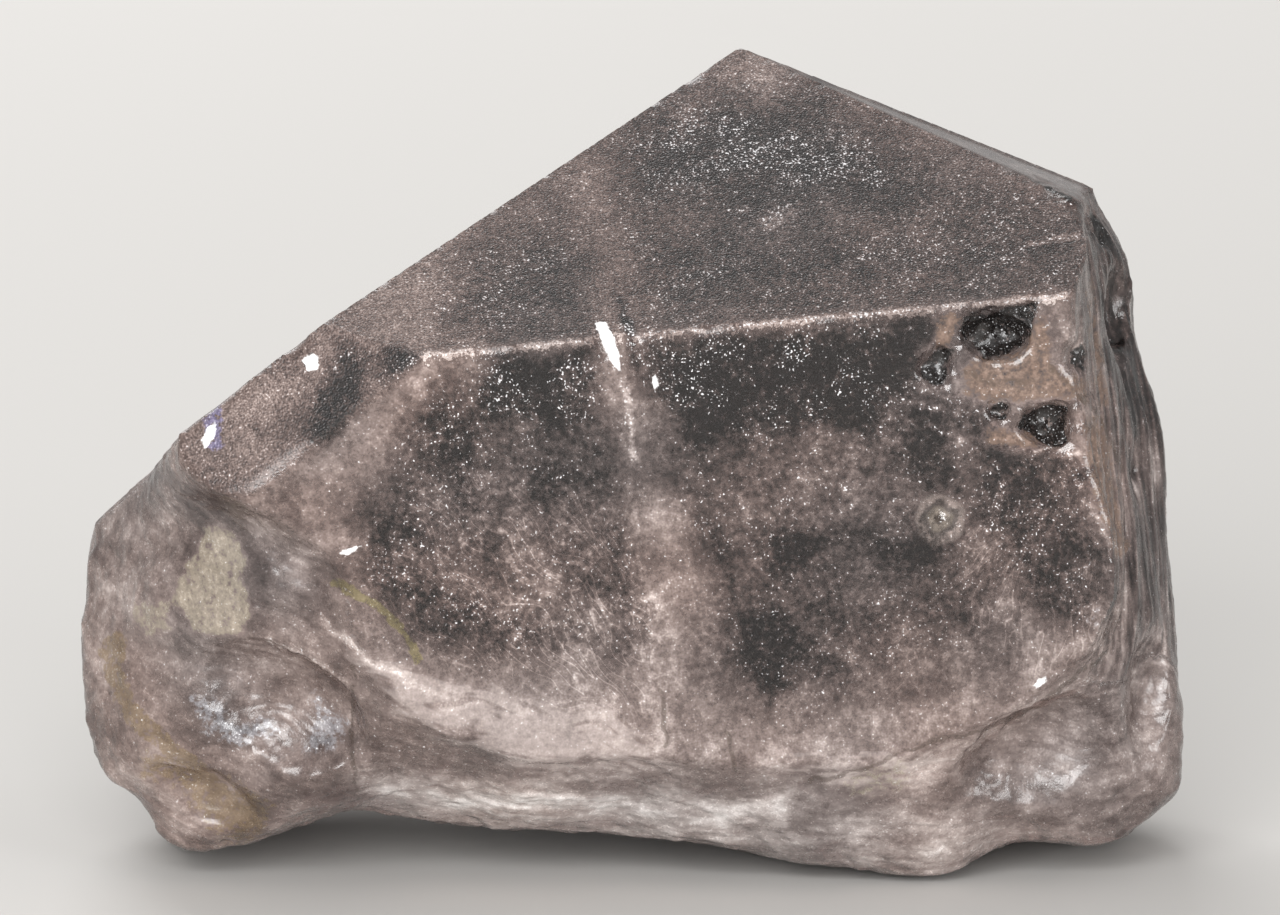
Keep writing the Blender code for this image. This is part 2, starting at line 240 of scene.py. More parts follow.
# Lamps: name, direction, distance and size in metres, power in watts.
LAMPS = (
    ("key", (-0.16, -0.92, 0.35), 0.7, 0.4, 5.2),
    ("fill", (0.72, -0.68, 0.14), 0.8, 0.3, 2.2),
    ("back", (-0.25, 0.75, 0.6), 0.7, 0.4, 3.0),
)
LAMP_TARGET = Vector((0.0, 0.0, 0.02))
LIGHT_BOUNCES = 3
SOFT_BOUNCES = 2

# Soft areas of the front, across and up: kind, strength, width of the soft border, outline. Dark
# areas mark clear stone, and their dark colour is painted shade, as though a dark ground showed
# through; pale areas are milky stone, and on the lower rim and the hollow's roof also painted
# light; pink is a painted glow, blue and violet are painted glints, and void is painted shade in
# the pits.
AREAS = (
    # upper face, above
    ("dark", 0.8, 3, ((-0.4, 39.5), (1.5, 42), (4.7, 43.3), (8.5, 42.2), (12.8, 40.1), (15.8, 37.4),
        (14.7, 36), (11.2, 36.8), (8, 36), (3.6, 36.6), (0.4, 36.8))),
    # upper face, below
    ("dark", 0.5, 3, ((-0.7, 36), (6.9, 34.9), (14.4, 35.5), (17.7, 35.2), (16.6, 32), (9, 30.9),
        (1.5, 30.3), (0.4, 33))),
    # upper face, left
    ("dark", 0.45, 2.5, ((-10.4, 32), (-7.2, 34.4), (-3.9, 36.6), (-2.6, 34.7), (-2.3, 30.3), (-7.2,
        29.5), (-9.9, 29.8))),
    # left strip, round patch
    ("dark", 0.6, 0.7, ((-17, 25.9), (-15.8, 28.2), (-15.1, 29.4), (-14.3, 28.7), (-14, 27.4),
        (-14.1, 25.8), (-15.1, 24.5), (-16.6, 23.9), (-17.2, 24.7))),
    # left strip, corner
    ("dark", 0.75, 0.4, ((-13.4, 28.6), (-13, 28.9), (-11.6, 28.4), (-12.3, 27.5), (-13.1, 26.9))),
    # left window
    ("dark", 0.5, 1.5, ((-10.9, 26.8), (-8.2, 28.2), (-2.6, 28.7), (-1.4, 24.9), (-0.2, 20.6), (1.2,
        15.2), (0.9, 12.8), (-5, 11.7), (-8.2, 12.3), (-12.8, 15.2), (-14.5, 17.4), (-14.1, 19.8),
        (-12.3, 22.2), (-12, 24.9))),
    # left window, top
    ("dark", 0.9, 1, ((-7.9, 28.1), (-6.1, 28.6), (-2.6, 28.7), (-1.9, 27.1), (-1.4, 24.4), (-3.9,
        23.9), (-7.2, 24.4), (-8.8, 26))),
    # left window, left
    ("dark", 0.75, 1.2, ((-11.6, 24.9), (-10.4, 26), (-8.2, 25.5), (-7.7, 22.2), (-8.8, 20.6),
        (-10.9, 20.6), (-11.7, 22.2))),
    # left window, middle
    ("dark", 0.8, 1, ((-6.2, 22.8), (-3.9, 23.1), (-3.1, 21.2), (-4.2, 20), (-5.8, 20.4))),
    # left window, low left
    ("dark", 0.8, 1.3, ((-14.4, 18.2), (-13.7, 20.4), (-11.5, 20.6), (-10.4, 18.5), (-10.9, 15.8),
        (-12.8, 15.3), (-14.2, 16.6))),
    # left window, foot
    ("dark", 0.85, 1.3, ((-12.6, 15.8), (-9.9, 16.7), (-6.1, 15.8), (-4.5, 13.6), (-5.3, 11.9),
        (-8.2, 12.3), (-10.9, 13.3))),
    # left window, right foot
    ("dark", 0.75, 1, ((-2.3, 19.5), (-0.4, 19.5), (0.4, 17.4), (1.2, 14.4), (0.8, 13.1), (-0.7,
        14.7), (-1.8, 16.8))),
    # right window
    ("dark", 0.45, 2, ((1.1, 28.8), (6.9, 29.6), (16.3, 30.3), (15.8, 28.7), (14.7, 26), (15.3,
        21.7), (18, 19.5), (20.4, 17.4), (19.8, 14.1), (14.4, 11.7), (9, 9.8), (5.9, 10.8), (4.3,
        13.1), (3.6, 17.4), (2.6, 22.2), (0.9, 26.6))),
    # right window, top
    ("dark", 1, 1.4, ((0.9, 29), (6.9, 29.6), (14.4, 30.5), (16.2, 30.2), (15.3, 28.7), (14.7,
        26.8), (13.4, 23.9), (10.7, 24.4), (6.9, 23.9), (3.6, 23.3), (2.1, 24.9), (1.1, 26.6))),
    # right window, by the tan
    ("dark", 0.9, 1.6, ((13.4, 25.5), (14.7, 26.3), (17.1, 25.8), (17.6, 23.9), (17.4, 21.4), (15.3,
        21.2), (13.4, 22.5))),
    # right window, middle
    ("dark", 0.9, 1.3, ((6.3, 19.5), (8.5, 20.1), (10.4, 19), (10.1, 16.6), (8, 15.8), (6.5,
        17.1))),
    # right window, foot
    ("dark", 0.85, 1.2, ((5.2, 14.7), (8.5, 15.2), (9.9, 13.1), (9, 10.4), (7.4, 10.1), (5.9,
        11.4))),
    # right window, under the ring
    ("dark", 0.75, 1.2, ((12.8, 19.3), (15.8, 19.3), (17.7, 18.2), (17.1, 16.3), (14.4, 16.6),
        (12.9, 17.7))),
    # right window, left
    ("dark", 0.6, 1.3, ((2.9, 21.7), (4.7, 22.2), (5.8, 18.5), (5.9, 14.7), (4.5, 14.1), (3.6,
        17.4))),
    # clear part by the right edge
    ("dark", 0.8, 1.6, ((18, 23.1), (20.4, 23.3), (23.1, 22.2), (24.8, 18.5), (24.4, 14.1), (22.3,
        14.1), (19.8, 17.4), (18.2, 20.1))),
    # upper face, right
    ("dark", 0.45, 3, ((16.1, 37.4), (20.4, 37.4), (23.1, 35.7), (23.6, 32.2), (19.8, 31.4), (16.1,
        31.4), (14.4, 34.7))),
    # right side, above
    ("dark", 0.7, 1.2, ((24.6, 35.5), (25.7, 35.6), (26.8, 32), (27.5, 28.7), (27.9, 24.9), (26.8,
        24.4), (25.9, 27.1), (25.1, 31.4))),
    # clear gaps beside the pits
    ("dark", 0.7, 0.6, ((14.7, 26.3), (15.8, 26.7), (17.4, 26.5), (19, 25.4), (18.8, 23.9), (17.4,
        23.9), (16.1, 25.4))),
    # dark side of the split, painted shade on the shaded side of the step
    ("dark", 0.9, 0.35, ((-1.1, 31.9), (-0.6, 31.4), (0.1, 29.8), (0.4, 27.2), (-0.1, 27.5), (-0.5,
        29.3))),
    # apex
    ("pale", 0.7, 1.6, ((2, 41.1), (5, 44.5), (7.2, 44.7), (9, 43.2), (7.4, 42.3), (4.7, 42.4),
        (3.1, 40.6))),
    # rosy left strip
    ("pale", 0.5, 2, ((-26.6, 22.4), (-10.9, 33), (-8.8, 31.4), (-11.6, 29.3), (-15.3, 29.3), (-18,
        26), (-20.4, 22.8), (-24.4, 21.7))),
    # edge by the left window
    ("pale", 0.4, 1.5, ((-18, 22.2), (-15.3, 24.4), (-11.7, 27.9), (-8.8, 28.7), (-12, 24.9),
        (-13.6, 21.7), (-15.3, 20.6))),
    # left of the left window
    ("pale", 0.4, 1.5, ((-20.4, 20.6), (-16.3, 21.2), (-15.3, 19.5), (-15.8, 16.8), (-20.1, 17.1))),
    # roof of the hollow: painted light laid over the shade under the hollow's upper edge
    ("pale", 0.35, 1.5, ((-24.4, 13.6), (-20.1, 13.5), (-15.5, 10.9), (-15.3, 9), (-20.7, 10.4),
        (-24.2, 11.4))),
    # left end, above the khaki
    ("dark", 0.25, 2, ((-25.2, 22.2), (-22.5, 22.8), (-21.2, 19.5), (-23.4, 18.2), (-25.5, 18.5))),
    # lower right
    ("dark", 0.3, 1.2, ((24.2, 10.4), (25.8, 10.4), (26.9, 8.2), (26.3, 6), (24.7, 7.7))),
    # milky band, above
    ("pale", 0.2, 1.2, ((-2.8, 39.3), (-1.1, 39.5), (-0.9, 32.4), (0.4, 26), (1.2, 20.6), (-0.4,
        20.6), (-1.2, 23.9), (-2, 27.1), (-2.3, 34.1))),
    # milky band, below
    ("pale", 0.55, 1.6, ((-0.4, 20.6), (1.2, 20.6), (3.1, 13.1), (4.7, 9.8), (6.9, 6.6), (0.4, 5.5),
        (0.7, 9.8), (-0, 15.2))),
    # lower rim: milky stone, with painted light on its shaded underside
    ("pale", 0.85, 2.2, ((-14.7, 6), (-8.2, 5.2), (3.6, 4.4), (12.3, 4.7), (17.7, 4.4), (23.1, 2.3),
        (16.1, -0.4), (-1.8, 1.7), (-12.6, 2.8))),
    # left end
    ("pale", 0.42, 2.5, ((-29.6, 19.5), (-26.6, 22.2), (-23.4, 22.2), (-23.9, 18.5), (-25, 15.2),
        (-24.4, 10.4), (-26.6, 7.7), (-29.6, 9.8), (-30.1, 13.1))),
    # lower right
    ("pale", 0.45, 2.5, ((19.8, 12), (25.2, 13.1), (29.6, 14.1), (29.8, 7.7), (25.2, 4.4), (17.7,
        5), (16.1, 7.7))),
    # veil in the left window
    ("pale", 0.3, 1.4, ((-12.6, 18.5), (-10.4, 17.4), (-6.1, 16), (-1.8, 15.2), (0.9, 10.9), (-1.8,
        9.8), (-6.1, 11.7), (-9.9, 15.2))),
    # slanting veil in the left window
    ("pale", 0.3, 1, ((-8.8, 22.2), (-7.2, 22), (-3.9, 17.4), (-2.8, 13.1), (-4.2, 12.3), (-6.1,
        16.3))),
    # cloud in the right window
    ("pale", 0.25, 1.8, ((7.4, 23.9), (12.8, 23.9), (13.4, 20.6), (10.7, 19.8), (7.4, 20.6))),
    # rim under the ledge: painted light on the shaded, downward-facing rim, and milky stone
    ("pale", 1.7, 1.2, ((-14.2, 5.6), (-8.2, 5.2), (-0.7, 5), (8.5, 4.8), (8.2, 3.1), (-1.8, 3.2),
        (-12.6, 3.8))),
    # lower rim, left part: painted light on the shaded underside, and milky stone
    ("pale", 1.25, 1.8, ((-13.6, 4.4), (-8.2, 4), (-0.7, 3.8), (6.9, 3.2), (5.8, 1.5), (-1.8, 1.7),
        (-12.6, 2.5))),
    # above the rim
    ("pale", 0.35, 1.6, ((3.6, 8.7), (10.1, 7.9), (17.7, 9), (20.4, 9.8), (19.8, 6.6), (14.4, 5),
        (4.7, 5))),
    # under the tan
    ("dark", 0.8, 0.7, ((17.7, 25.8), (20.4, 23.3), (23.9, 23.1), (25.2, 21.7), (23.1, 21.2), (18.8,
        22.2))),
    # small cloud
    ("pale", 0.25, 1.2, ((10, 17.7), (12.5, 17.7), (12.4, 15.7), (10.1, 15.8))),
    # beside the tan
    ("pale", 0.15, 1.5, ((16.1, 28.7), (17.7, 26), (18.5, 23.1), (16.6, 22.2), (14.7, 23.9), (14.2,
        26))),
    # painted glow of a lit crack under the left window
    ("pink", 1, 1.3, ((-15.3, 13.1), (-13.1, 11.7), (-10.4, 10.6), (-6.1, 9.7), (-1.8, 9.2), (0.9,
        8.3), (1.7, 7.4), (0.4, 6.2), (-3.9, 5.9), (-7.2, 6.9), (-9.9, 8.5), (-12.6, 9.8))),
    # painted glow of a lit crack under the right window
    ("pink", 0.55, 1.2, ((5.8, 7), (9, 7.2), (13.4, 7), (17.1, 7.4), (16.1, 5.9), (11.7, 5.2), (7.4,
        5.4))),
    # left window
    ("wisp", 1, 2, ((-11.5, 21.7), (-8.2, 23.1), (-3.9, 22.2), (-0.7, 19.5), (1.5, 13.1), (0.9,
        9.8), (-3.9, 9.8), (-9.9, 11.4), (-14.2, 15.8))),
    # right window
    ("wisp", 0.3, 2.5, ((3.6, 17.4), (6.9, 22.2), (13.4, 24.9), (17.7, 19.5), (19.8, 13.1), (17.7,
        8.7), (10.1, 8.2), (5.3, 9.8))),
    # fan below the tan
    ("wisp", 0.8, 1.2, ((20.9, 23.1), (23.9, 23.1), (26.3, 17.4), (25.8, 13.1), (22, 10.9), (17.7,
        14.1), (17.4, 18.5))),
    # left window, above
    ("wisp", 0.5, 1.5, ((-10.4, 26), (-6.1, 27.6), (-1.8, 27.1), (-0.7, 21.7), (-5, 22.2), (-9.9,
        22.8))),
    # tan, left smudge
    ("tan", 0.9, 0.5, ((16.4, 30.7), (17.7, 30.6), (17.1, 29), (16.5, 28.6), (16.1, 28.7))),
    # tan, band
    ("tan", 1, 0.6, ((17.6, 27.5), (18.5, 28.2), (20.9, 28.6), (21.3, 30.2), (22.2, 30.3), (22.4,
        27.9), (23.3, 27.4), (24.3, 27.2), (24.4, 26), (22, 26.1), (20.4, 25.8), (19, 26.1), (17.8,
        26.2))),
    # tan, low bar
    ("tan", 1, 0.4, ((18.8, 24.6), (20.4, 24.3), (21.8, 24), (21.7, 23.5), (19.1, 23.5))),
    # tan, streak above
    ("tan", 0.9, 0.5, ((24.3, 32.9), (24.7, 32.8), (24.9, 30.6), (25.2, 28.6), (25.6, 25.6), (24.9,
        25.4), (24.7, 28.2), (24.4, 30.3))),
    # tan, streak below
    ("tan", 0.9, 0.7, ((24.1, 25.1), (25.2, 25.2), (25.7, 23.1), (26.2, 19.8), (26.8, 17.8), (25.9,
        17.7), (25.1, 19.8), (24.3, 22.8))),
    # tan, right shoulder
    ("tan", 0.4, 1.2, ((19.8, 38.7), (22, 38.3), (24.8, 37.2), (25.6, 36), (24.4, 36.6), (22,
        37.6))),
    # rosy left strip
    ("warm", 1, 1.5, ((-26.6, 22.4), (-10.9, 33), (-8.8, 31.4), (-11.6, 28.2), (-15.3, 24.4), (-18,
        22.2), (-20.4, 20.6), (-24.4, 21.7))),
    # brownish left of the left window
    ("warm", 0.8, 3, ((-20.4, 20.6), (-15.3, 24.4), (-11.7, 27.9), (-8.8, 28.7), (-11.5, 23.9),
        (-14.2, 19.5), (-15.3, 15.8), (-18, 18.5))),
    # low left lobe
    ("pale", 0.5, 2, ((-28.2, 8.7), (-23.4, 6.6), (-16.3, 5), (-16.3, 3.1), (-22.3, 1.7), (-26.1,
        1.7), (-29, 5.5))),
    # low left lobe
    ("warm", 1, 2.5, ((-29, 13.1), (-26.6, 12.5), (-23.4, 7.7), (-16.3, 4.4), (-16.3, 3.1), (-22.3,
        1.5), (-26.1, 1.7), (-29.6, 6.6))),
    # upper face, by the slope
    ("warm", 0.5, 2, ((-3.9, 38.4), (3.6, 43.3), (5.8, 44.4), (3.6, 41.7), (0.4, 39), (-1.8,
        36.8))),
    # iridescent glint, rim
    ("violet", 0.8, 0.35, ((-22.9, 23.5), (-22.7, 24.7), (-21.8, 25.8), (-21.6, 24.9), (-21.8,
        23.5), (-22.6, 23.1))),
    # khaki patch
    ("yellow", 1, 0.25, ((-22.9, 19.3), (-21.8, 19.1), (-21, 18.2), (-20.6, 17.2), (-20.9, 16.3),
        (-20.5, 14.8), (-21, 13.4), (-23.7, 13.6), (-24, 14.8), (-24.9, 15.1), (-24.3, 16.3),
        (-23.7, 16.5), (-24, 17.2), (-23.3, 17.9))),
    # khaki patch, left part
    ("yellow", 0.75, 0.3, ((-26.8, 15.1), (-24.9, 15.2), (-24.7, 13.7), (-26.1, 13.2), (-27,
        14.3))),
    # stain, low end
    ("stain", 0.85, 1.4, ((-26.1, 7), (-23.1, 6), (-20.9, 5), (-19.4, 3.5), (-20, 2.2), (-22, 2.2),
        (-23.9, 4.4), (-26.1, 5.8))),
    # yellowish sparks
    ("yellow", 0.5, 1, ((11.5, 6.3), (14.7, 7), (15.3, 5.2), (12.8, 4.4), (10.9, 4.7))),
    # bluish gleam, left
    ("blue", 1, 1, ((-23.8, 10), (-22.5, 10), (-21, 8.6), (-19.6, 8.6), (-19.3, 7.9), (-21.2, 7.6),
        (-22.7, 8.6))),
    # bluish gleam, right
    ("blue", 0.9, 1, ((-17.5, 10.2), (-16.8, 9.8), (-15.5, 9.2), (-16.3, 7.2), (-17.4, 7.2), (-17,
        8.6))),
    # painted bluish glint, right
    ("blue", 0.5, 0.6, ((24.2, 14.9), (25.2, 15), (25.5, 14), (24.5, 13.8))),
    # void: pits, a hole and a crevice painted near black, painted shade in the hollows
    # dark pit, above
    ("void", 1, 0.3, ((17.7, 30.5), (19.8, 30.8), (21.6, 31.3), (21.5, 30.5), (21, 28.9), (19.8,
        28.4), (18.8, 28.1), (18.3, 29), (17.6, 29.5))),
    # dark pit, left
    ("void", 1, 0.3, ((15.4, 27.9), (16.3, 28.7), (17.3, 28.8), (16.9, 28.1), (16.7, 26.8), (15.8,
        26.9), (15.3, 27.4))),
    # dark pit, small
    ("void", 1, 0.3, ((19, 25.7), (19.6, 25.9), (20.2, 25.5), (19.7, 25), (19.1, 25.1))),
    # dark pit, low
    ("void", 1, 0.3, ((20.5, 24.5), (21.1, 25.4), (22.7, 25.8), (23.3, 25.6), (23.1, 24.5), (23.4,
        23.7), (22.2, 23.5))),
    # dark pit, by the edge
    ("void", 0.9, 0.4, ((23.3, 28.7), (23.9, 28.9), (24.3, 28.3), (24.2, 27.6), (23.4, 27.8))),
    # hole in the right shoulder
    ("void", 1, 0.35, ((24.4, 36.1), (25, 36), (25.6, 35), (25.7, 34.3), (25.1, 34.5), (24.7,
        35.2))),
    # crevice by the right shoulder
    ("void", 0.9, 0.25, ((21.7, 37.9), (22.5, 37.5), (24.1, 36.5), (24, 36.2), (23, 36.7), (22.1,
        37.3))),
)

# Painted highlights: small facets coloured white where they would mirror the light; outlines,
# across and up.
GLEAMS = (
    # facet of the split
    (((-2.08, 30.13), (-1.48, 30.19), (-1.16, 29.75), (-0.73, 28.62), (-0.57, 27.32), (-1.27,
        28.13))),
    # small facet
    (((1, 27.27), (1.32, 27.27), (1.43, 26.57), (1.11, 26.51))),
    # dash
    (((-15.69, 17.82), (-15.15, 18.09), (-14.39, 18.2), (-14.5, 17.98), (-15.25, 17.66))),
    # glint
    (((21.46, 10.69), (21.73, 11.02), (22.27, 11.23), (22.17, 10.8), (21.68, 10.48))),
    # glint, left strip
    (((-17.63, 28.08), (-17.2, 28.51), (-16.71, 28.3), (-16.77, 27.65), (-17.31, 27.43))),
    # iridescent glint
    (((-23.09, 23.76), (-22.71, 24.52), (-22.17, 24.95), (-22.33, 23.87), (-22.82, 23.33))),
)

# Stain lines, cracks and white lines: kind, half width, points across and up. The white lines are
# painted highlights on lit edges, rims and spots, and whitish scratches and hair rays.
LINES = (
    # rim under the low pit
    ("white", 0.12, ((21.5, 23.2), (22.7, 23.4), (23.8, 23.2))),
    # rim on the right shoulder
    ("white", 0.12, ((21, 34.3), (22, 34.6), (24.3, 34.7))),
    # edge left of the tan
    ("white", 0.12, ((14.1, 26.3), (15.1, 25.8), (16.7, 25.5))),
    # scratches
    ("white", 0.12, ((15.6, 24.5), (16.6, 24.1), (17.6, 23.9))),
    # painted highlight on the edge of the lit crack
    ("white", 0.18, ((-16.7, 14.5), (-15, 12.8), (-13.4, 11.7), (-10.6, 10.2))),
    # left end, painted highlight along the bright edge
    ("white", 0.12, ((-19.5, 13.2), (-18, 12.5), (-16.3, 11.6), (-15.5, 10.9))),
    # fan, left ray
    ("white", 0.12, ((21.5, 23.2), (19.8, 21.2), (19, 19))),
    # fan, right ray
    ("white", 0.12, ((23.3, 23.1), (24.4, 20.6), (25.5, 18.5), (26.8, 17.8))),
    # painted glint on the upper face
    ("white", 0.35, ((7.1, 35.6), (7.7, 36), (8.3, 36.1))),
    # tail of the split
    ("white", 0.16, ((-0.6, 27.1), (-0.1, 24.9), (0.1, 22.8))),
    # painted glint, tail
    ("white", 0.12, ((7.3, 35.3), (7.9, 35.6))),
    # painted glint, left
    ("white", 0.12, ((5.2, 36.2), (6.1, 36.4))),
    # stain, upper arm
    ("stain", 0.5, ((-28.3, 12.4), (-27.7, 13), (-28, 11.4), (-27.1, 9.5), (-26.4, 8.5), (-24.9,
        7.3), (-23.2, 5.9), (-21.6, 4.4), (-20.4, 3.2))),
    # olive streak
    ("olive", 0.25, ((-15.8, 16.1), (-13.7, 15.1), (-12.3, 13.8), (-11.5, 12.1))),
    # brown crack
    ("crack", 0.12, ((-14.8, 11.8), (-15.1, 8), (-15, 6.4), (-14.7, 4.4))),
    # hairline
    ("crack", 0.12, ((1.5, 10.4), (1.9, 7.4))),
    # hairline
    ("crack", 0.12, ((5, 8.2), (5.6, 6))),
    # long crack
    ("crack", 0.12, ((25.5, 12.4), (24.4, 11.6), (22, 9.7), (19, 8.3), (16.1, 7.8), (12.8, 6.3),
        (9.6, 5.5))),
    # tan, upper crack
    ("crack", 0.12, ((22.3, 27.8), (23.6, 26.5), (25.2, 24.9), (26.3, 22.2))),
    # tan, lower crack
    ("crack", 0.12, ((17.8, 27.5), (19.3, 26.9), (21.5, 27.1))),
)


def lean(x, y, z):
    """Point of the leaning frame, in millimetres, as a point of the model, in metres."""
    return (UPRIGHT @ Vector((x, y, z)) + FRAME_SHIFT) * MM


def to_lean(places):
    """Points of the model, in metres, as millimetres of the leaning frame."""
    return (places / MM - np.array(FRAME_SHIFT)) @ np.array(UPRIGHT)


def linear(code):
    """Linear colour of an sRGB hex value."""
    parts = [int(code[start:start + 2], 16) / 255.0 for start in (1, 3, 5)]
    return tuple(
        part / 12.92 if part <= 0.04045 else ((part + 0.055) / 1.055) ** 2.4 for part in parts)


def smooth_step(value):
    """Ease from 0 to 1, for one number or an array."""
    share = np.clip(value, 0.0, 1.0)
    return share * share * (3.0 - 2.0 * share)


def plane_normal(first, second, third, outward):
    """Unit normal of the plane through three points, on the outward side."""
    normal = (second - first).cross(third - first).normalized()
    return -normal if normal.dot(outward) < 0.0 else normal


def growth_faces():
    """Name, point and outward normal, in the model's frame and metres, of every flat face."""
    up = Vector((0.0, 0.0, 1.0))
    front = Vector((0.0, -1.0, 0.0))
    upright = Vector((0.0, -math.sin(LEAN_BACK), math.cos(LEAN_BACK)))
    front_normal = (RIDGE_LEFT - RIDGE_RIGHT).cross(upright).normalized()
    back = Vector((BACK_FACE_TURN, math.cos(LEAN_BACK), math.sin(LEAN_BACK))).normalized()
    back_pyramid = Vector((0.0, math.sin(BACK_PYRAMID_RISE), math.cos(BACK_PYRAMID_RISE)))
    faces = (
        ("front", RIDGE_LEFT, front_normal if front_normal.y < 0.0 else -front_normal),
        ("upper", RIDGE_LEFT, plane_normal(RIDGE_LEFT, RIDGE_RIGHT, APEX, up)),
        ("left_strip", RIDGE_LEFT, plane_normal(RIDGE_LEFT, LEFT_SHOULDER, FRONT_LEFT_FOOT, front)),
        ("right_strip", STRIP_TOP, plane_normal(STRIP_TOP, STRIP_LOW, STRIP_OUTER, up)),
        ("back_left", APEX, plane_normal(APEX, LEFT_SHOULDER, LEFT_FOOT, up)),
        ("back_right", APEX, plane_normal(APEX, STRIP_OUTER, RIGHT_BACK, up)),
        ("back_upper", APEX_BACK, back_pyramid),
        ("back", BACK_FACE_POINT, back),
    )
    placed = [(name, lean(*point), UPRIGHT @ normal) for name, point, normal in faces]
    placed.append(("feet", Vector((0.0, 0.0, 0.0)), Vector((0.0, 0.0, -1.0))))
    return placed


def new_object(name, data):
    """Object at the origin, linked to the scene."""
    piece = bpy.data.objects.new(name, data)
    bpy.context.scene.collection.objects.link(piece)
    return piece


def add_node(tree, kind, inputs=(), **settings):
    """Add one shader node, with its settings, input values and links."""
    made = tree.nodes.new("ShaderNode" + kind)
    for name, value in settings.items():
        setattr(made, name, value)
    for key, value in dict(inputs).items():
        if isinstance(value, bpy.types.Node):
            value = next(socket for socket in value.outputs if socket.enabled)
        if isinstance(value, bpy.types.NodeSocket):
            tree.links.new(value, made.inputs[key])
        else:
            made.inputs[key].default_value = value
    return made


def places_of(data):
    """Places of a mesh's points as an array."""
    places = np.empty(len(data.vertices) * 3)
    data.vertices.foreach_get("co", places)
    return places.reshape(-1, 3)


def plane_gaps(places, faces):
    """How far each point lies outside each flat face, in millimetres."""
    return np.stack([
        (places - np.array(point)) @ np.array(normal) for _, point, normal in faces], axis=1) / MM


def fine_copy(node, voxel):
    """Merged copy of a solid, laid out again as an even mesh, finer where it faces the front."""
    mesh = bmesh.new()
    mesh.from_mesh(node.data)
    bmesh.ops.remove_doubles(mesh, verts=mesh.verts[:], dist=MERGE_REACH * MM)
    data = bpy.data.meshes.new("crystal_fine")
    mesh.to_mesh(data)
    piece = new_object("crystal_fine", data)
    remesh = piece.modifiers.new("even mesh", "REMESH")
    remesh.mode = "VOXEL"
    remesh.voxel_size = voxel
    graph = bpy.context.evaluated_depsgraph_get()
    even = bpy.data.meshes.new_from_object(piece.evaluated_get(graph))
    piece.modifiers.clear()
    piece.data = even
    mesh.clear()
    mesh.from_mesh(even)
    toward = UPRIGHT @ Vector((0.0, -1.0, 0.0))
    edges = {
        edge for face in mesh.faces
        if face.normal.dot(toward) > FINE_FACING
        and face.calc_center_median().y < FINE_BACK_END * MM
        for edge in face.edges}
    bmesh.ops.subdivide_edges(mesh, edges=list(edges), cuts=1, use_grid_fill=True)
    bmesh.ops.triangulate(mesh, faces=mesh.faces[:])
    mesh.to_mesh(even)
    mesh.free()
    return piece


def flatten(places, faces, reach):
    """Pull the points that lie near flat faces exactly onto them."""
    near = plane_gaps(places, faces) > -reach
    for _ in range(FLAT_ROUNDS):
        for index, (_, point, normal) in enumerate(faces):
            direction = np.array(normal)
            outside = (places - np.array(point)) @ direction
            places -= np.where(near[:, index], outside, 0.0)[:, None] * direction
    return near


def chipped(point, size):
    """Height of small flat chips that tilt every way and run out softly, from -0.4 to 0.4."""
    distances, middles = noise.voronoi(point / size)
    tilt = noise.cell_vector(middles[0] * 7.3)
    inner = smooth_step((distances[1] - distances[0]) / 0.5)
    return tilt.dot(point / size - middles[0]) * inner


def fracture(point, fibrous, pitted):
    """Height of the broken surface's relief at one point, in millimetres, negative inwards."""
    swell = SWELL[0] * noise.noise(point / SWELL[1])
    level = LEDGES_EACH_WAY * noise.noise(point / LEDGE[1] + Vector((4.0, 0.0, 0.0)))
    step = level - math.floor(level)
    brow = smooth_step((step - LEDGE_BROW) / (1.0 - LEDGE_BROW))
    ledges = LEDGE[0] * (brow - step)
    chips = CHIP[0] * chipped(point, CHIP[1])
    grain = GRAIN[0] * noise.noise(point / GRAIN[1])
    shell = swell + ledges + chips + grain
    along = point.z - SIDE_SLOPE * point.x
    broad = abs(noise.noise(Vector((point.y / GROOVE[1], along / GROOVE_LENGTH, point.x / 5.0))))
    thread = abs(noise.noise(Vector((point.y / THREAD[1], along / THREAD_LENGTH, point.x / 2.5))))
    grooves = GROOVE[0] * broad + THREAD[0] * thread - GROOVE_SINK
    side = 0.5 * swell + grooves + 0.5 * grain
    crumbs = HACKLE_GRAIN[0] * noise.noise(point / HACKLE_GRAIN[1])
    hackle = HACKLE[0] * chipped(point, HACKLE[1]) + crumbs - HACKLE_SINK
    return shell + (side - shell) * fibrous + hackle * pitted - RELIEF_SINK


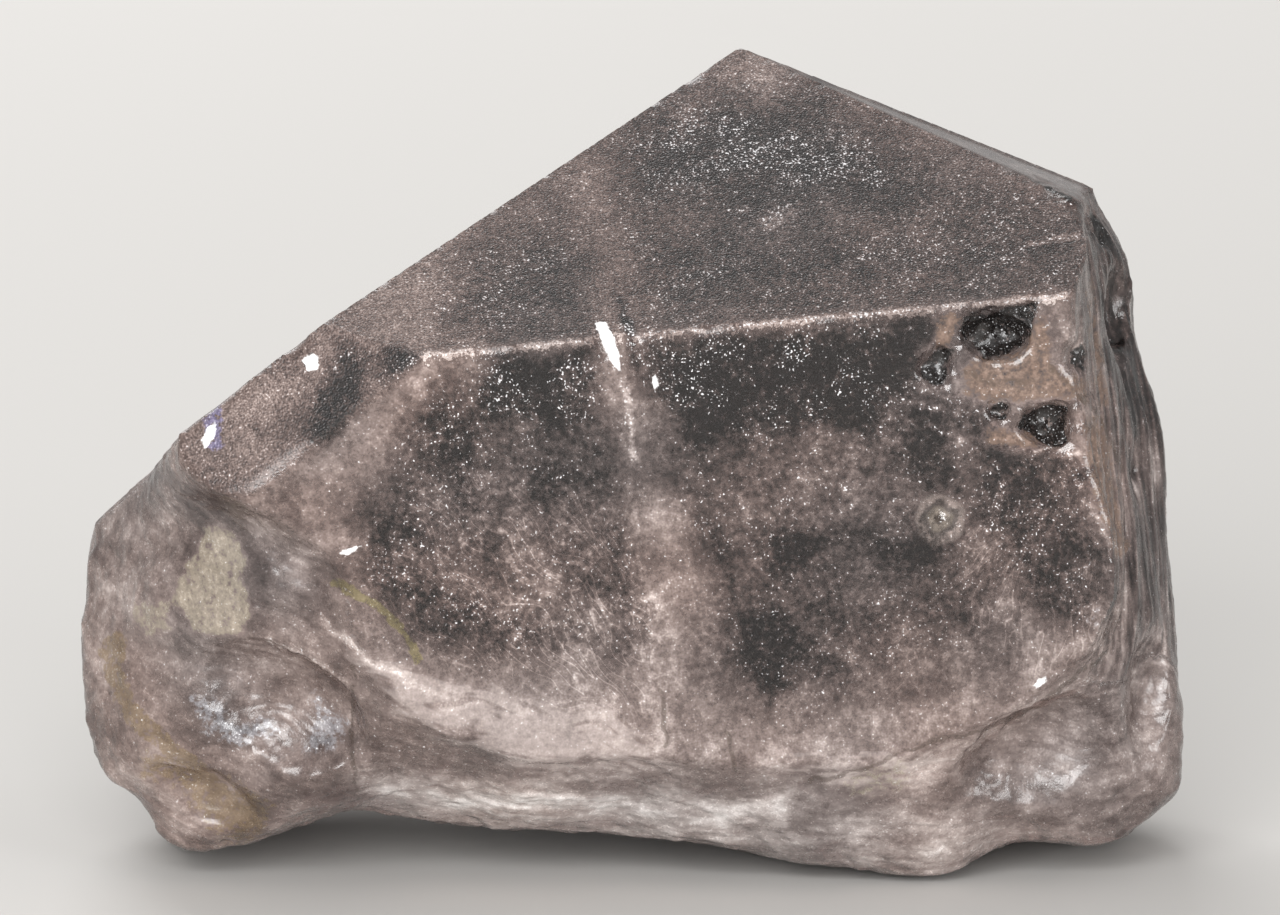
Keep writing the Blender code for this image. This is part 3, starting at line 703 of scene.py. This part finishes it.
def relief(piece, faces, smoothing, flat_reach):
    """Smooth the broken surfaces, give them their relief, and keep the growth faces flat."""
    mesh = bmesh.new()
    mesh.from_mesh(piece.data)
    places = places_of(piece.data)
    flat = flatten(places, faces, flat_reach).any(axis=1)
    for vert, place in zip(mesh.verts, places):
        vert.co = place
    laid = to_lean(places)
    for (across, up), radius, amount in CALMED:
        near = np.hypot(laid[:, 0] - across, laid[:, 2] - up) < radius
        inside = near & (laid[:, 1] < FRONT_DEPTH)
        bmesh.ops.smooth_laplacian_vert(
            mesh, verts=[vert for vert, held in zip(mesh.verts, inside) if held],
            lambda_factor=amount, lambda_border=0.0, use_x=True, use_y=True, use_z=True,
            preserve_volume=False)
        flat &= ~inside
    pits = marks_of(laid, "void", PIT_SPREAD)
    rough = np.maximum(pits, DUST_ROUGHNESS * marks_of(laid, "tan", PIT_SPREAD))
    rough *= laid[:, 1] < FRONT_DEPTH
    flat &= rough < ROUGH_FROM
    # the flat front runs out softly below and to the left
    fading = (laid[:, 2] < FADE_BELOW) | (laid[:, 0] < FADE_LEFT)
    grown = {vert for vert, held in zip(mesh.verts, flat) if not held}
    for _ in range(FADE_RINGS):
        grown |= {
            edge.other_vert(vert) for vert in grown for edge in vert.link_edges
            if fading[edge.other_vert(vert).index]}
    loose = sorted(grown, key=lambda vert: vert.index)
    for _ in range(smoothing):
        bmesh.ops.smooth_vert(
            mesh, verts=loose, factor=0.5, use_axis_x=True, use_axis_y=True, use_axis_z=True)
    mesh.normal_update()
    places = np.array([vert.co[:] for vert in loose])
    rough = rough[[vert.index for vert in loose]]
    laid = to_lean(places)
    share = np.clip(-plane_gaps(places, faces).max(axis=1) / RELIEF_REACH, 0.0, 1.0)
    share = np.maximum(share, rough)
    fibrous = side_share(laid)
    for vert, place, amount, fibre, pit in zip(loose, laid, share, fibrous, rough):
        vert.co += vert.normal * (fracture(Vector(place), fibre, pit) * amount * MM)
    mesh.to_mesh(piece.data)
    mesh.free()


def side_share(laid):
    """Share of the grooved right side at every point."""
    from_left = smooth_step((laid[:, 0] - SIDE_START[0]) / SIDE_SOFTNESS[0])
    return from_left * smooth_step((laid[:, 2] - SIDE_START[1]) / SIDE_SOFTNESS[1])


def line_gap(across, up, start, end):
    """Distance to one straight stretch, for every point."""
    run = (end[0] - start[0], end[1] - start[1])
    length = run[0] ** 2 + run[1] ** 2
    share = np.clip(((across - start[0]) * run[0] + (up - start[1]) * run[1]) / length, 0.0, 1.0)
    return np.hypot(across - start[0] - share * run[0], up - start[1] - share * run[1])


def area_depth(across, up, outline):
    """Distance inside an outline, negative outside it, for every point."""
    inside = np.zeros(across.shape, dtype=bool)
    nearest = np.full(across.shape, np.inf)
    for start, end in zip(outline, outline[1:] + outline[:1]):
        nearest = np.minimum(nearest, line_gap(across, up, start, end))
        if start[1] == end[1]:
            continue
        spans = (start[1] > up) != (end[1] > up)
        rise = end[1] - start[1]
        inside ^= spans & (across < start[0] + (up - start[1]) * (end[0] - start[0]) / rise)
    return np.where(inside, nearest, -nearest)


def marks_of(laid, kind, wander=0.0):
    """Strength, 0 to 1, of one kind of soft area at every point."""
    across, up = laid[:, 0], laid[:, 2]
    value = np.zeros(len(laid))
    for name, strength, border, outline in AREAS:
        if name == kind:
            depth = area_depth(across, up, outline) + wander
            value = np.maximum(value, strength * smooth_step(0.5 + depth / (2.0 * border)))
    return value


def lines_of(laid, kind):
    """Strength, 0 to 1, of one kind of line at every point."""
    value = np.zeros(len(laid))
    for name, width, stretch in LINES:
        if name == kind:
            for start, end in zip(stretch, stretch[1:]):
                near = line_gap(laid[:, 0], laid[:, 2], start, end)
                value = np.maximum(value, smooth_step(1.5 - near / width))
    return value


def facet_depth(laid):
    """Distance inside the nearest small bright facet, negative outside it, at every point."""
    depth = np.full(len(laid), -FAR_AWAY)
    for outline in GLEAMS:
        depth = np.maximum(depth, area_depth(laid[:, 0], laid[:, 2], outline))
    return depth


def grain_of(laid, broken, wander):
    """Coordinates drawn out along the local grain, so that one noise makes hairs and fibres."""
    bent = laid + 0.9 * wander
    across, deep, up = bent[:, 0], laid[:, 1], bent[:, 2]
    cross = across * math.sin(HAIR_SLANT) + up * math.cos(HAIR_SLANT)
    run = across * math.cos(HAIR_SLANT) - up * math.sin(HAIR_SLANT)
    hairs = np.stack([HAIR_GRAIN[0] * cross, HAIR_GRAIN[1] * run, HAIR_GRAIN[0] * deep], axis=1)
    turn = np.arctan2(across - FAN[0], FAN[1] - up)
    reach = np.hypot(across - FAN[0], FAN[1] - up)
    rays = np.stack([RAY_GRAIN[0] * turn, RAY_GRAIN[1] * reach, HAIR_GRAIN[0] * deep], axis=1)
    fall = np.where(across < FAN_FROM, 0.3, 0.1)
    level = LAYER_GRAIN[0] * (up + fall * across)
    layers = np.stack([level, LAYER_GRAIN[1] * across, LAYER_GRAIN[0] * deep], axis=1)
    lean_in = FIBRE_GRAIN[0] * (laid[:, 0] + 0.14 * laid[:, 2])
    fibres = np.stack([lean_in, FIBRE_GRAIN[1] * laid[:, 2], FIBRE_GRAIN[0] * deep], axis=1)
    chosen = np.where((across > FAN_FROM)[:, None], rays, hairs)
    layered = (broken > 0.5) | (marks_of(laid + wander, "pink") > 0.3)
    chosen = np.where(layered[:, None], layers, chosen)
    return np.where((side_share(laid + 3.0 * wander) * broken > 0.4)[:, None], fibres, chosen)


def paint_marks(piece, faces):
    """Store the tone and the marks of the surface on the mesh's points."""
    data = piece.data
    places = places_of(data)
    normals = np.empty(len(places) * 3)
    data.vertices.foreach_get("normal", normals)
    normals = normals.reshape(-1, 3) @ np.array(UPRIGHT)
    laid = to_lean(places)
    gaps = plane_gaps(places, faces)
    names = [name for name, _, _ in faces]
    points = [Vector(place) for place in laid]
    noise.seed_set(NOISE_SEED)
    wander = np.array([noise.noise_vector(point / WANDER)[:] for point in points])
    ripple = np.array([noise.noise_vector(point / RIPPLE)[:] for point in points])
    soft = laid + 0.7 * wander + 0.22 * ripple
    firm = laid + 0.15 * wander + 0.22 * ripple
    cloud = np.array([noise.noise(point / CLOUD) for point in points])
    patch = np.array([noise.noise(point / PATCH + Vector((9.0, 0.0, 0.0))) for point in points])
    veil = np.array([noise.fractal(point / VEIL, 0.6, 2.0, 3) for point in points])
    # the front carries the marks of the photo, the unseen sides a plain pattern of their own
    facing = smooth_step((-normals[:, 1] - 0.05) / 0.25) * smooth_step((9.0 - laid[:, 1]) / 4.0)

    broken = smooth_step(-gaps.max(axis=1) / 0.5)
    sloping = [names.index(name) for name in (
        "upper", "left_strip", "back_left", "back_right", "back_upper")]
    frosted = smooth_step(1.0 + gaps[:, sloping].max(axis=1) / 0.4)
    fibrous = side_share(laid) * broken
    ridge = np.maximum(-gaps[:, names.index("front")], -gaps[:, names.index("upper")])
    ridge = np.where((laid[:, 0] > RIDGE_LEFT.x) & (facing > 0.3), ridge, FAR_AWAY)
    generic_dark = 0.4 * smooth_step((cloud + 0.3 * patch + 0.2) / 1.1) * (1.0 - 0.5 * fibrous)
    generic_pale = 0.55 * smooth_step((0.4 * patch - cloud + 0.35) / 1.1)
    # dark: painted shade over the clear stone; pale: milky stone and, on the lower rim and the
    # hollow, painted light
    dark = facing * marks_of(soft, "dark") + (1.0 - facing) * generic_dark
    pale = facing * marks_of(soft, "pale") + (1.0 - facing) * generic_pale
    tone = PLAIN_TONE + 0.03 * broken - DARK_TONE * dark * (1.0 - 0.6 * pale) + PALE_TONE * pale
    tone += (0.08 * cloud + 0.1 * patch) * (1.0 - 0.4 * frosted) - 0.08 * fibrous - 0.05 * frosted
    tone += 0.12 * veil * (1.0 - 0.5 * frosted)
    marks = {
        "tone": tone,
        "broken": broken,
        "frosted": frosted,
        "fibrous": fibrous,
        "ridge": ridge,
        "hue": 0.5 * cloud + 0.35 * frosted + facing * 0.5 * marks_of(soft, "warm"),
        "dark": dark,
        "ring": np.hypot(firm[:, 0] - RING[0], firm[:, 2] - RING[1]) / np.maximum(facing, 0.01),
    }
    # pink is a painted glow of lit cracks; blue and violet are painted glints
    for kind in ("pink", "blue", "violet", "wisp"):
        marks[kind] = facing * marks_of(soft, kind)
    marks["wisp"] += 0.6 * (1.0 - facing) * smooth_step(0.5 - 2.0 * cloud)
    # tan and yellow are dust; void is painted shade in the pits
    for kind in ("tan", "yellow", "void"):
        marks[kind] = facing * marks_of(firm, kind)
    # gleam: painted highlights on the small facets
    marks["gleam"] = np.where(facing > 0.5, facet_depth(laid), -FAR_AWAY)
    # white lines are partly painted highlights on edges and spots, partly whitish scratches
    for kind in ("stain", "olive", "crack", "white"):
        marks[kind] = np.maximum(lines_of(firm, kind), marks_of(soft, kind)) * facing
    # where the painted glints gather: in clusters, in the dark clear parts, by the ridge, pits,
    # bluish glints and white lines
    cluster = 0.6 + 0.9 * smooth_step(0.5 + 2.0 * patch + 1.0 * cloud)
    near_ridge = smooth_step(1.0 - ridge / 5.0)
    sparse = 0.15 + (0.3 + 0.3 * near_ridge) * dark * (1.0 - broken)
    sparse += 0.35 * dark * frosted
    sparse *= cluster
    marks["sparks"] = sparse + 0.4 * marks["void"] + 0.5 * marks["blue"] + 0.6 * marks["white"]
    for name, values in marks.items():
        layer = data.attributes.new(name, "FLOAT", "POINT")
        layer.data.foreach_set("value", values.astype(np.float32))
    layer = data.attributes.new("grain", "FLOAT_VECTOR", "POINT")
    layer.data.foreach_set("vector", grain_of(laid, broken, wander).astype(np.float32).ravel())


def morganite(settings):
    """Beryl, IOR 1.58. Growth faces: the sloping ones frosted by etching, like sugared glass,
    the upright one clear with fine pits. Breaks: satin, like broken glass; iron dust in pits."""
    material = bpy.data.materials.new("morganite")
    material.use_nodes = True
    tree = material.node_tree
    tree.nodes.clear()
    node = partial(add_node, tree)

    place = node("TexCoord").outputs["Object"]
    laid = node("Mapping", {
        "Vector": place,
        "Location": -(UPRIGHT.transposed() @ FRAME_SHIFT),
        "Rotation": (LEAN_BACK, 0.0, 0.0),
        "Scale": (1.0 / MM, 1.0 / MM, 1.0 / MM)})
    read = {
        name: node("Attribute", attribute_name=name).outputs["Fac"] for name in (
            "tone", "broken", "frosted", "fibrous", "ridge", "hue", "dark", "ring", "pink",
            "blue", "violet", "wisp", "tan", "yellow", "void", "gleam", "stain", "olive", "crack",
            "white", "sparks")}
    grain = node("Attribute", attribute_name="grain").outputs["Vector"]

    # mottle: speckle 0.4 mm across with finer grains in it; sugar: etched grain of 0.11 mm
    mottle = node("TexNoise", {
        "Vector": laid, "Scale": MOTTLE_PER_MM, "Detail": 2.0, "Roughness": 0.72})
    sugar = node("TexNoise", {"Vector": laid, "Scale": SUGAR_PER_MM, "Detail": 0.0})
    # drawn: healed cracks, fibres and layers, all along the grain kept on the mesh
    drawn = node("TexNoise", {"Vector": grain, "Scale": 1.0, "Detail": 1.0, "Roughness": 0.6})
    mottle_even = node("Math", {0: mottle, 1: 0.5}, operation="SUBTRACT")
    sugar_even = node("Math", {0: sugar, 1: 0.5}, operation="SUBTRACT")
    drawn_even = node("Math", {0: drawn, 1: 0.5}, operation="SUBTRACT")

    # fine speckle is strongest where the crystal is clear and dark
    mottle_share = 0.4
    for part, share in ((read["dark"], 0.7), (read["broken"], -0.2)):
        mottle_share = node("Math", {0: part, 1: share, 2: mottle_share}, operation="MULTIPLY_ADD")
    sugar_share = node("Math", {0: read["frosted"], 1: 0.4, 2: 0.14}, operation="MULTIPLY_ADD")
    drawn_share = 0.05
    for part, share in ((read["broken"], 0.2), (read["fibrous"], 0.8)):
        drawn_share = node("Math", {0: part, 1: share, 2: drawn_share}, operation="MULTIPLY_ADD")
    # thread and pink lighten the tone: white lines are partly painted highlights, pink is a painted
    # glow
    thread = node("Math", {0: mottle, 1: read["white"]}, operation="MULTIPLY")
    tone = read["tone"]
    for part, share in (
            (mottle_even, mottle_share), (sugar_even, sugar_share), (drawn_even, drawn_share),
            (thread, 0.35), (read["pink"], 0.15)):
        tone = node("Math", {0: part, 1: share, 2: tone}, operation="MULTIPLY_ADD")
    # healed cracks show as white hairs, in a haze of their own
    off = node("Math", {0: drawn_even}, operation="ABSOLUTE")
    hair = node("MapRange", {"Value": off, "From Min": 0.03, "From Max": 0.0})
    haze = node("Math", {0: hair, 1: HAIR_TONE, 2: 0.05}, operation="MULTIPLY_ADD")
    tone = node("Math", {0: read["wisp"], 1: haze, 2: tone}, operation="MULTIPLY_ADD")
    # the long edge is bruised white, about 0.3 mm wide
    bruise = read["ridge"]
    for part, share in ((sugar_even, 0.6), (mottle_even, 1.6)):
        bruise = node("Math", {0: part, 1: share, 2: bruise}, operation="MULTIPLY_ADD")
    bruised = node("MapRange", {"Value": bruise, "From Min": 0.24, "From Max": 0.06})
    tone = node("Math", {0: bruised, 1: BRUISE_TONE, 2: tone}, operation="MULTIPLY_ADD")

    body = node("ValToRGB", {0: tone})
    ramp = body.color_ramp
    while len(ramp.elements) < len(TONE_COLOURS):
        ramp.elements.new(0.5)
    for element, (at, code) in zip(ramp.elements, TONE_COLOURS):
        element.position = at
        element.color = linear(code) + (1.0,)
    warm = node("MapRange", {"Value": read["hue"], "From Min": -0.3, "From Max": 0.4})
    look = node("Mix", {
        0: node("Math", {0: warm, 1: WARM_SHARE}, operation="MULTIPLY"), 6: body,
        7: linear(WARM_LIGHT) + (1.0,)}, data_type="RGBA", blend_type="SOFT_LIGHT")

    # dusty tints, the painted glow, the painted glints and the painted shade of the pits, broken up
    # by the patterns
    patterns = {"mottle": mottle_even, "drawn": drawn_even}
    for kind, code, pattern, breakup, strength in TINTS_AND_PAINTED_LIGHT:
        breaks = node("Math", {0: patterns[pattern], 1: breakup, 2: 1.0}, operation="MULTIPLY_ADD")
        rough = node("Math", {0: breaks, 1: read[kind]}, operation="MULTIPLY")
        share = node("MapRange", {
            "Value": rough, "From Min": 0.3, "From Max": 0.75, "To Max": strength},
            interpolation_type="SMOOTHSTEP")
        look = node("Mix", {0: share, 6: look, 7: linear(code) + (1.0,)}, data_type="RGBA")
    # ring: a beige rim round a grey middle with a small brown eye
    ring = node("Math", {0: mottle_even, 1: 0.5, 2: read["ring"]}, operation="MULTIPLY_ADD")
    for outer, inner, code, strength in RING_BANDS:
        share = node("MapRange", {
            "Value": ring, "From Min": outer, "From Max": inner, "To Max": strength})
        look = node("Mix", {0: share, 6: look, 7: linear(code) + (1.0,)}, data_type="RGBA")
    # dust lies unevenly, so its colour is darker and lighter by turns
    dusted = node("Math", {0: read["yellow"], 1: 0.4, 2: read["tan"]}, operation="MULTIPLY_ADD")
    uneven = node("Math", {0: dusted, 1: 2.6, 2: 0.5}, operation="MULTIPLY_ADD")
    uneven = node("Math", {0: uneven, 1: mottle_even, 2: 1.0}, operation="MULTIPLY_ADD")
    look = node("Mix", {0: 1.0, 6: look, 7: uneven}, data_type="RGBA", blend_type="MULTIPLY")

    # sparks: painted glints, white specks under 0.1 mm across standing for lit etch pits, on the
    # crests of the sugar grain
    crest = sugar
    for part, share in ((read["sparks"], 0.22), (bruised, 0.24), (mottle_even, 0.5)):
        crest = node("Math", {0: part, 1: share, 2: crest}, operation="MULTIPLY_ADD")
    bright = node("MapRange", {"Value": crest, "From Min": 0.82, "From Max": 1.0, "To Max": 0.9})
    look = node("Mix", {0: bright, 6: look, 7: linear(SPARK_GLINT_COLOUR) + (1.0,)}, data_type="RGBA")
    # painted highlights on the small facets
    facet = node("Math", {0: mottle_even, 1: 0.3, 2: read["gleam"]}, operation="MULTIPLY_ADD")
    gleam = node("MapRange", {"Value": facet, "From Min": -0.02, "From Max": 0.06})
    look = node("Mix", {0: gleam, 6: look, 7: linear(FACET_GLINT_COLOUR) + (1.0,)}, data_type="RGBA")

    # see-through where dark, milky where pale, dull under dust and under the painted glow and
    # glints
    through = node("MapRange", {
        "Value": tone, "From Min": 0.1, "From Max": 1.0,
        "To Min": CLEAR_THROUGH, "To Max": MILKY_THROUGH})
    # tan and yellow dust, with the painted glow, the painted glints and the painted facet
    # highlights
    dust_and_painted_light = node("Math", {0: read["tan"], 1: read["yellow"]}, operation="MAXIMUM")
    dust_and_painted_light = node("Math", {0: read["pink"], 1: 0.4, 2: dust_and_painted_light}, operation="MULTIPLY_ADD")
    dust_and_painted_light = node("Math", {0: dust_and_painted_light, 1: bright}, operation="MAXIMUM")
    dust_and_painted_light = node("Math", {0: dust_and_painted_light, 1: gleam}, operation="MAXIMUM")
    kept = node("Math", {0: dust_and_painted_light, 1: -DUST_AND_PAINTED_LIGHT_BLOCKS, 2: 1.0}, operation="MULTIPLY_ADD")
    through = node("Math", {0: through, 1: kept}, operation="MULTIPLY", use_clamp=True)

    # gloss: frosted faces dull, breaks satin, the upright face clear
    gloss = CLEAR_GLOSS
    for part, share in (
            (read["frosted"], FROST_GLOSS), (read["broken"], BREAK_GLOSS),
            (mottle_even, UNEVEN_GLOSS)):
        gloss = node("Math", {0: part, 1: share, 2: gloss}, operation="MULTIPLY_ADD")

    # relief too fine for the mesh: etched sugar grain, and the layers and fibres of the breaks
    sugared = node("Math", {0: read["frosted"], 1: 0.7, 2: 0.3}, operation="MULTIPLY_ADD")
    sugared = node("Math", {0: sugared, 1: sugar}, operation="MULTIPLY")
    height = node("Math", {0: drawn, 1: read["broken"]}, operation="MULTIPLY")
    height = node("Math", {0: height, 1: 2.5, 2: sugared}, operation="MULTIPLY_ADD")
    bump = node("Bump", {
        "Strength": BUMP_STRENGTH, "Distance": BUMP_DEPTH * MM, "Height": height})

    shader = node("BsdfPrincipled", {
        "Base Color": look,
        "Roughness": gloss,
        "Transmission Weight": through,
        "IOR": settings.index,
        "Normal": bump}, distribution="GGX")
    depth = node("VolumeAbsorption", {
        "Color": tuple(settings.depth_colour) + (1.0,), "Density": settings.depth_density})
    node("OutputMaterial", {"Surface": shader, "Volume": depth})
    return material


class CrystalSettings(bpy.types.PropertyGroup):
    """Sizes and colours of the crystal."""

    voxel: FloatProperty(
        name="Mesh spacing", description="Spacing of the mesh at the back; half of it in front",
        default=0.000475, unit="LENGTH", subtype="DISTANCE", precision=5)
    flat_reach: FloatProperty(
        name="Flattening reach", description="How near a growth face points are pulled flat, in mm",
        default=0.15)
    smoothing: IntProperty(
        name="Smoothing", description="Rounds of smoothing on the broken surfaces", default=8)
    index: FloatProperty(
        name="Refractive index", description="Of beryl", default=1.58)
    depth_colour: FloatVectorProperty(
        name="Depth colour", description="Colour that thick crystal lets through",
        default=linear("#a3928f"), subtype="COLOR")
    depth_density: FloatProperty(
        name="Depth density", description="Absorption per metre", default=120.0)


class StageSettings(bpy.types.PropertyGroup):
    """Floor, lights and camera."""

    floor_colour: FloatVectorProperty(
        name="Floor colour", description="Plain pale floor", default=linear("#cac8c5"),
        subtype="COLOR")
    room_light: FloatProperty(
        name="Room light", description="Strength of the even light all round", default=0.5)
    camera_distance: FloatProperty(
        name="Camera distance", description="From the middle of the widest outline", default=1.2,
        unit="LENGTH", subtype="DISTANCE")


class CRYSTAL_OT_body(bpy.types.Operator):
    """Build the crystal with its growth faces, breaks and marks"""

    bl_idname = "crystal.body"
    bl_label = "Crystal"

    def execute(self, context):
        settings = context.scene.crystal
        faces = growth_faces()
        piece = fine_copy(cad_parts["crystal"], settings.voxel)
        relief(piece, faces, settings.smoothing, settings.flat_reach)
        data = piece.data
        places = np.clip(places_of(data), np.array(CAD_BOX[0]), np.array(CAD_BOX[1]))
        data.vertices.foreach_set("co", places.ravel())
        data.update()
        paint_marks(piece, faces)
        data.shade_smooth()
        data.set_sharp_from_angle(angle=SHARP_ANGLE)
        data.materials.clear()
        data.materials.append(morganite(settings))
        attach(piece, "root")
        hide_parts("crystal")
        return {"FINISHED"}


class CRYSTAL_OT_stage(bpy.types.Operator):
    """Set up the plain floor, the soft lights and the camera"""

    bl_idname = "crystal.stage"
    bl_label = "Studio"

    def execute(self, context):
        settings = context.scene.crystal_stage
        scene = context.scene
        floor_mesh = bmesh.new()
        bmesh.ops.create_grid(floor_mesh, x_segments=1, y_segments=1, size=FLOOR_REACH)
        data = bpy.data.meshes.new("floor")
        floor_mesh.to_mesh(data)
        floor_mesh.free()
        floor = new_object("floor", data)
        paint = bpy.data.materials.new("matt_floor")
        paint.use_nodes = True
        shader = paint.node_tree.nodes["Principled BSDF"]
        shader.inputs["Base Color"].default_value = tuple(settings.floor_colour) + (1.0,)
        shader.inputs["Roughness"].default_value = FLOOR_ROUGHNESS
        data.materials.append(paint)

        middle = lean(VIEW_MIDDLE[0], 0.0, VIEW_MIDDLE[1])
        view = UPRIGHT @ Vector((0.0, 1.0, 0.0))
        camera_data = bpy.data.cameras.new("camera")
        camera_data.sensor_width = SENSOR_WIDTH
        camera_data.lens = SENSOR_WIDTH * settings.camera_distance / (VIEW_WIDTH * MM)
        camera_data.clip_end = CAMERA_REACH
        camera = new_object("camera", camera_data)
        camera.location = middle - view * settings.camera_distance
        camera.rotation_euler = view.to_track_quat("-Z", "Y").to_euler()
        scene.camera = camera

        for name, direction, distance, size, power in LAMPS:
            lamp = bpy.data.lights.new(name, "AREA")
            lamp.shape = "SQUARE"
            lamp.size = size
            lamp.energy = power
            lit = new_object(name, lamp)
            away = Vector(direction).normalized()
            lit.location = away * distance + LAMP_TARGET
            lit.rotation_euler = (-away).to_track_quat("-Z", "Y").to_euler()
        world = bpy.data.worlds.new("soft_room")
        world.use_nodes = True
        sky = world.node_tree.nodes["Background"]
        sky.inputs["Color"].default_value = ROOM_COLOUR
        sky.inputs["Strength"].default_value = settings.room_light
        scene.world = world
        scene.view_settings.view_transform = "Standard"
        scene.cycles.max_bounces = LIGHT_BOUNCES
        scene.cycles.diffuse_bounces = SOFT_BOUNCES
        scene.cycles.glossy_bounces = SOFT_BOUNCES
        scene.cycles.transmission_bounces = LIGHT_BOUNCES
        return {"FINISHED"}


class CRYSTAL_PT_panel(bpy.types.Panel):
    """Crystal tools"""

    bl_idname = "CRYSTAL_PT_panel"
    bl_label = "Crystal"
    bl_space_type = "VIEW_3D"
    bl_region_type = "UI"
    bl_category = "Crystal"

    def draw(self, context):
        layout = self.layout
        for group in (context.scene.crystal, context.scene.crystal_stage):
            for name in group.__annotations__:
                layout.prop(group, name)
        layout.operator("crystal.body")
        layout.operator("crystal.stage")


CLASSES = (CrystalSettings, StageSettings, CRYSTAL_OT_body, CRYSTAL_OT_stage, CRYSTAL_PT_panel)


def register():
    """Register the classes and their settings."""
    for item in CLASSES:
        bpy.utils.register_class(item)
    bpy.types.Scene.crystal = PointerProperty(type=CrystalSettings)
    bpy.types.Scene.crystal_stage = PointerProperty(type=StageSettings)


def unregister():
    """Remove the settings and the classes."""
    del bpy.types.Scene.crystal_stage
    del bpy.types.Scene.crystal
    for item in reversed(CLASSES):
        bpy.utils.unregister_class(item)


def main():
    """Register the tools, then build the crystal and the studio."""
    register()
    bpy.ops.crystal.body()
    bpy.ops.crystal.stage()


if __name__ == "__main__":
    main()
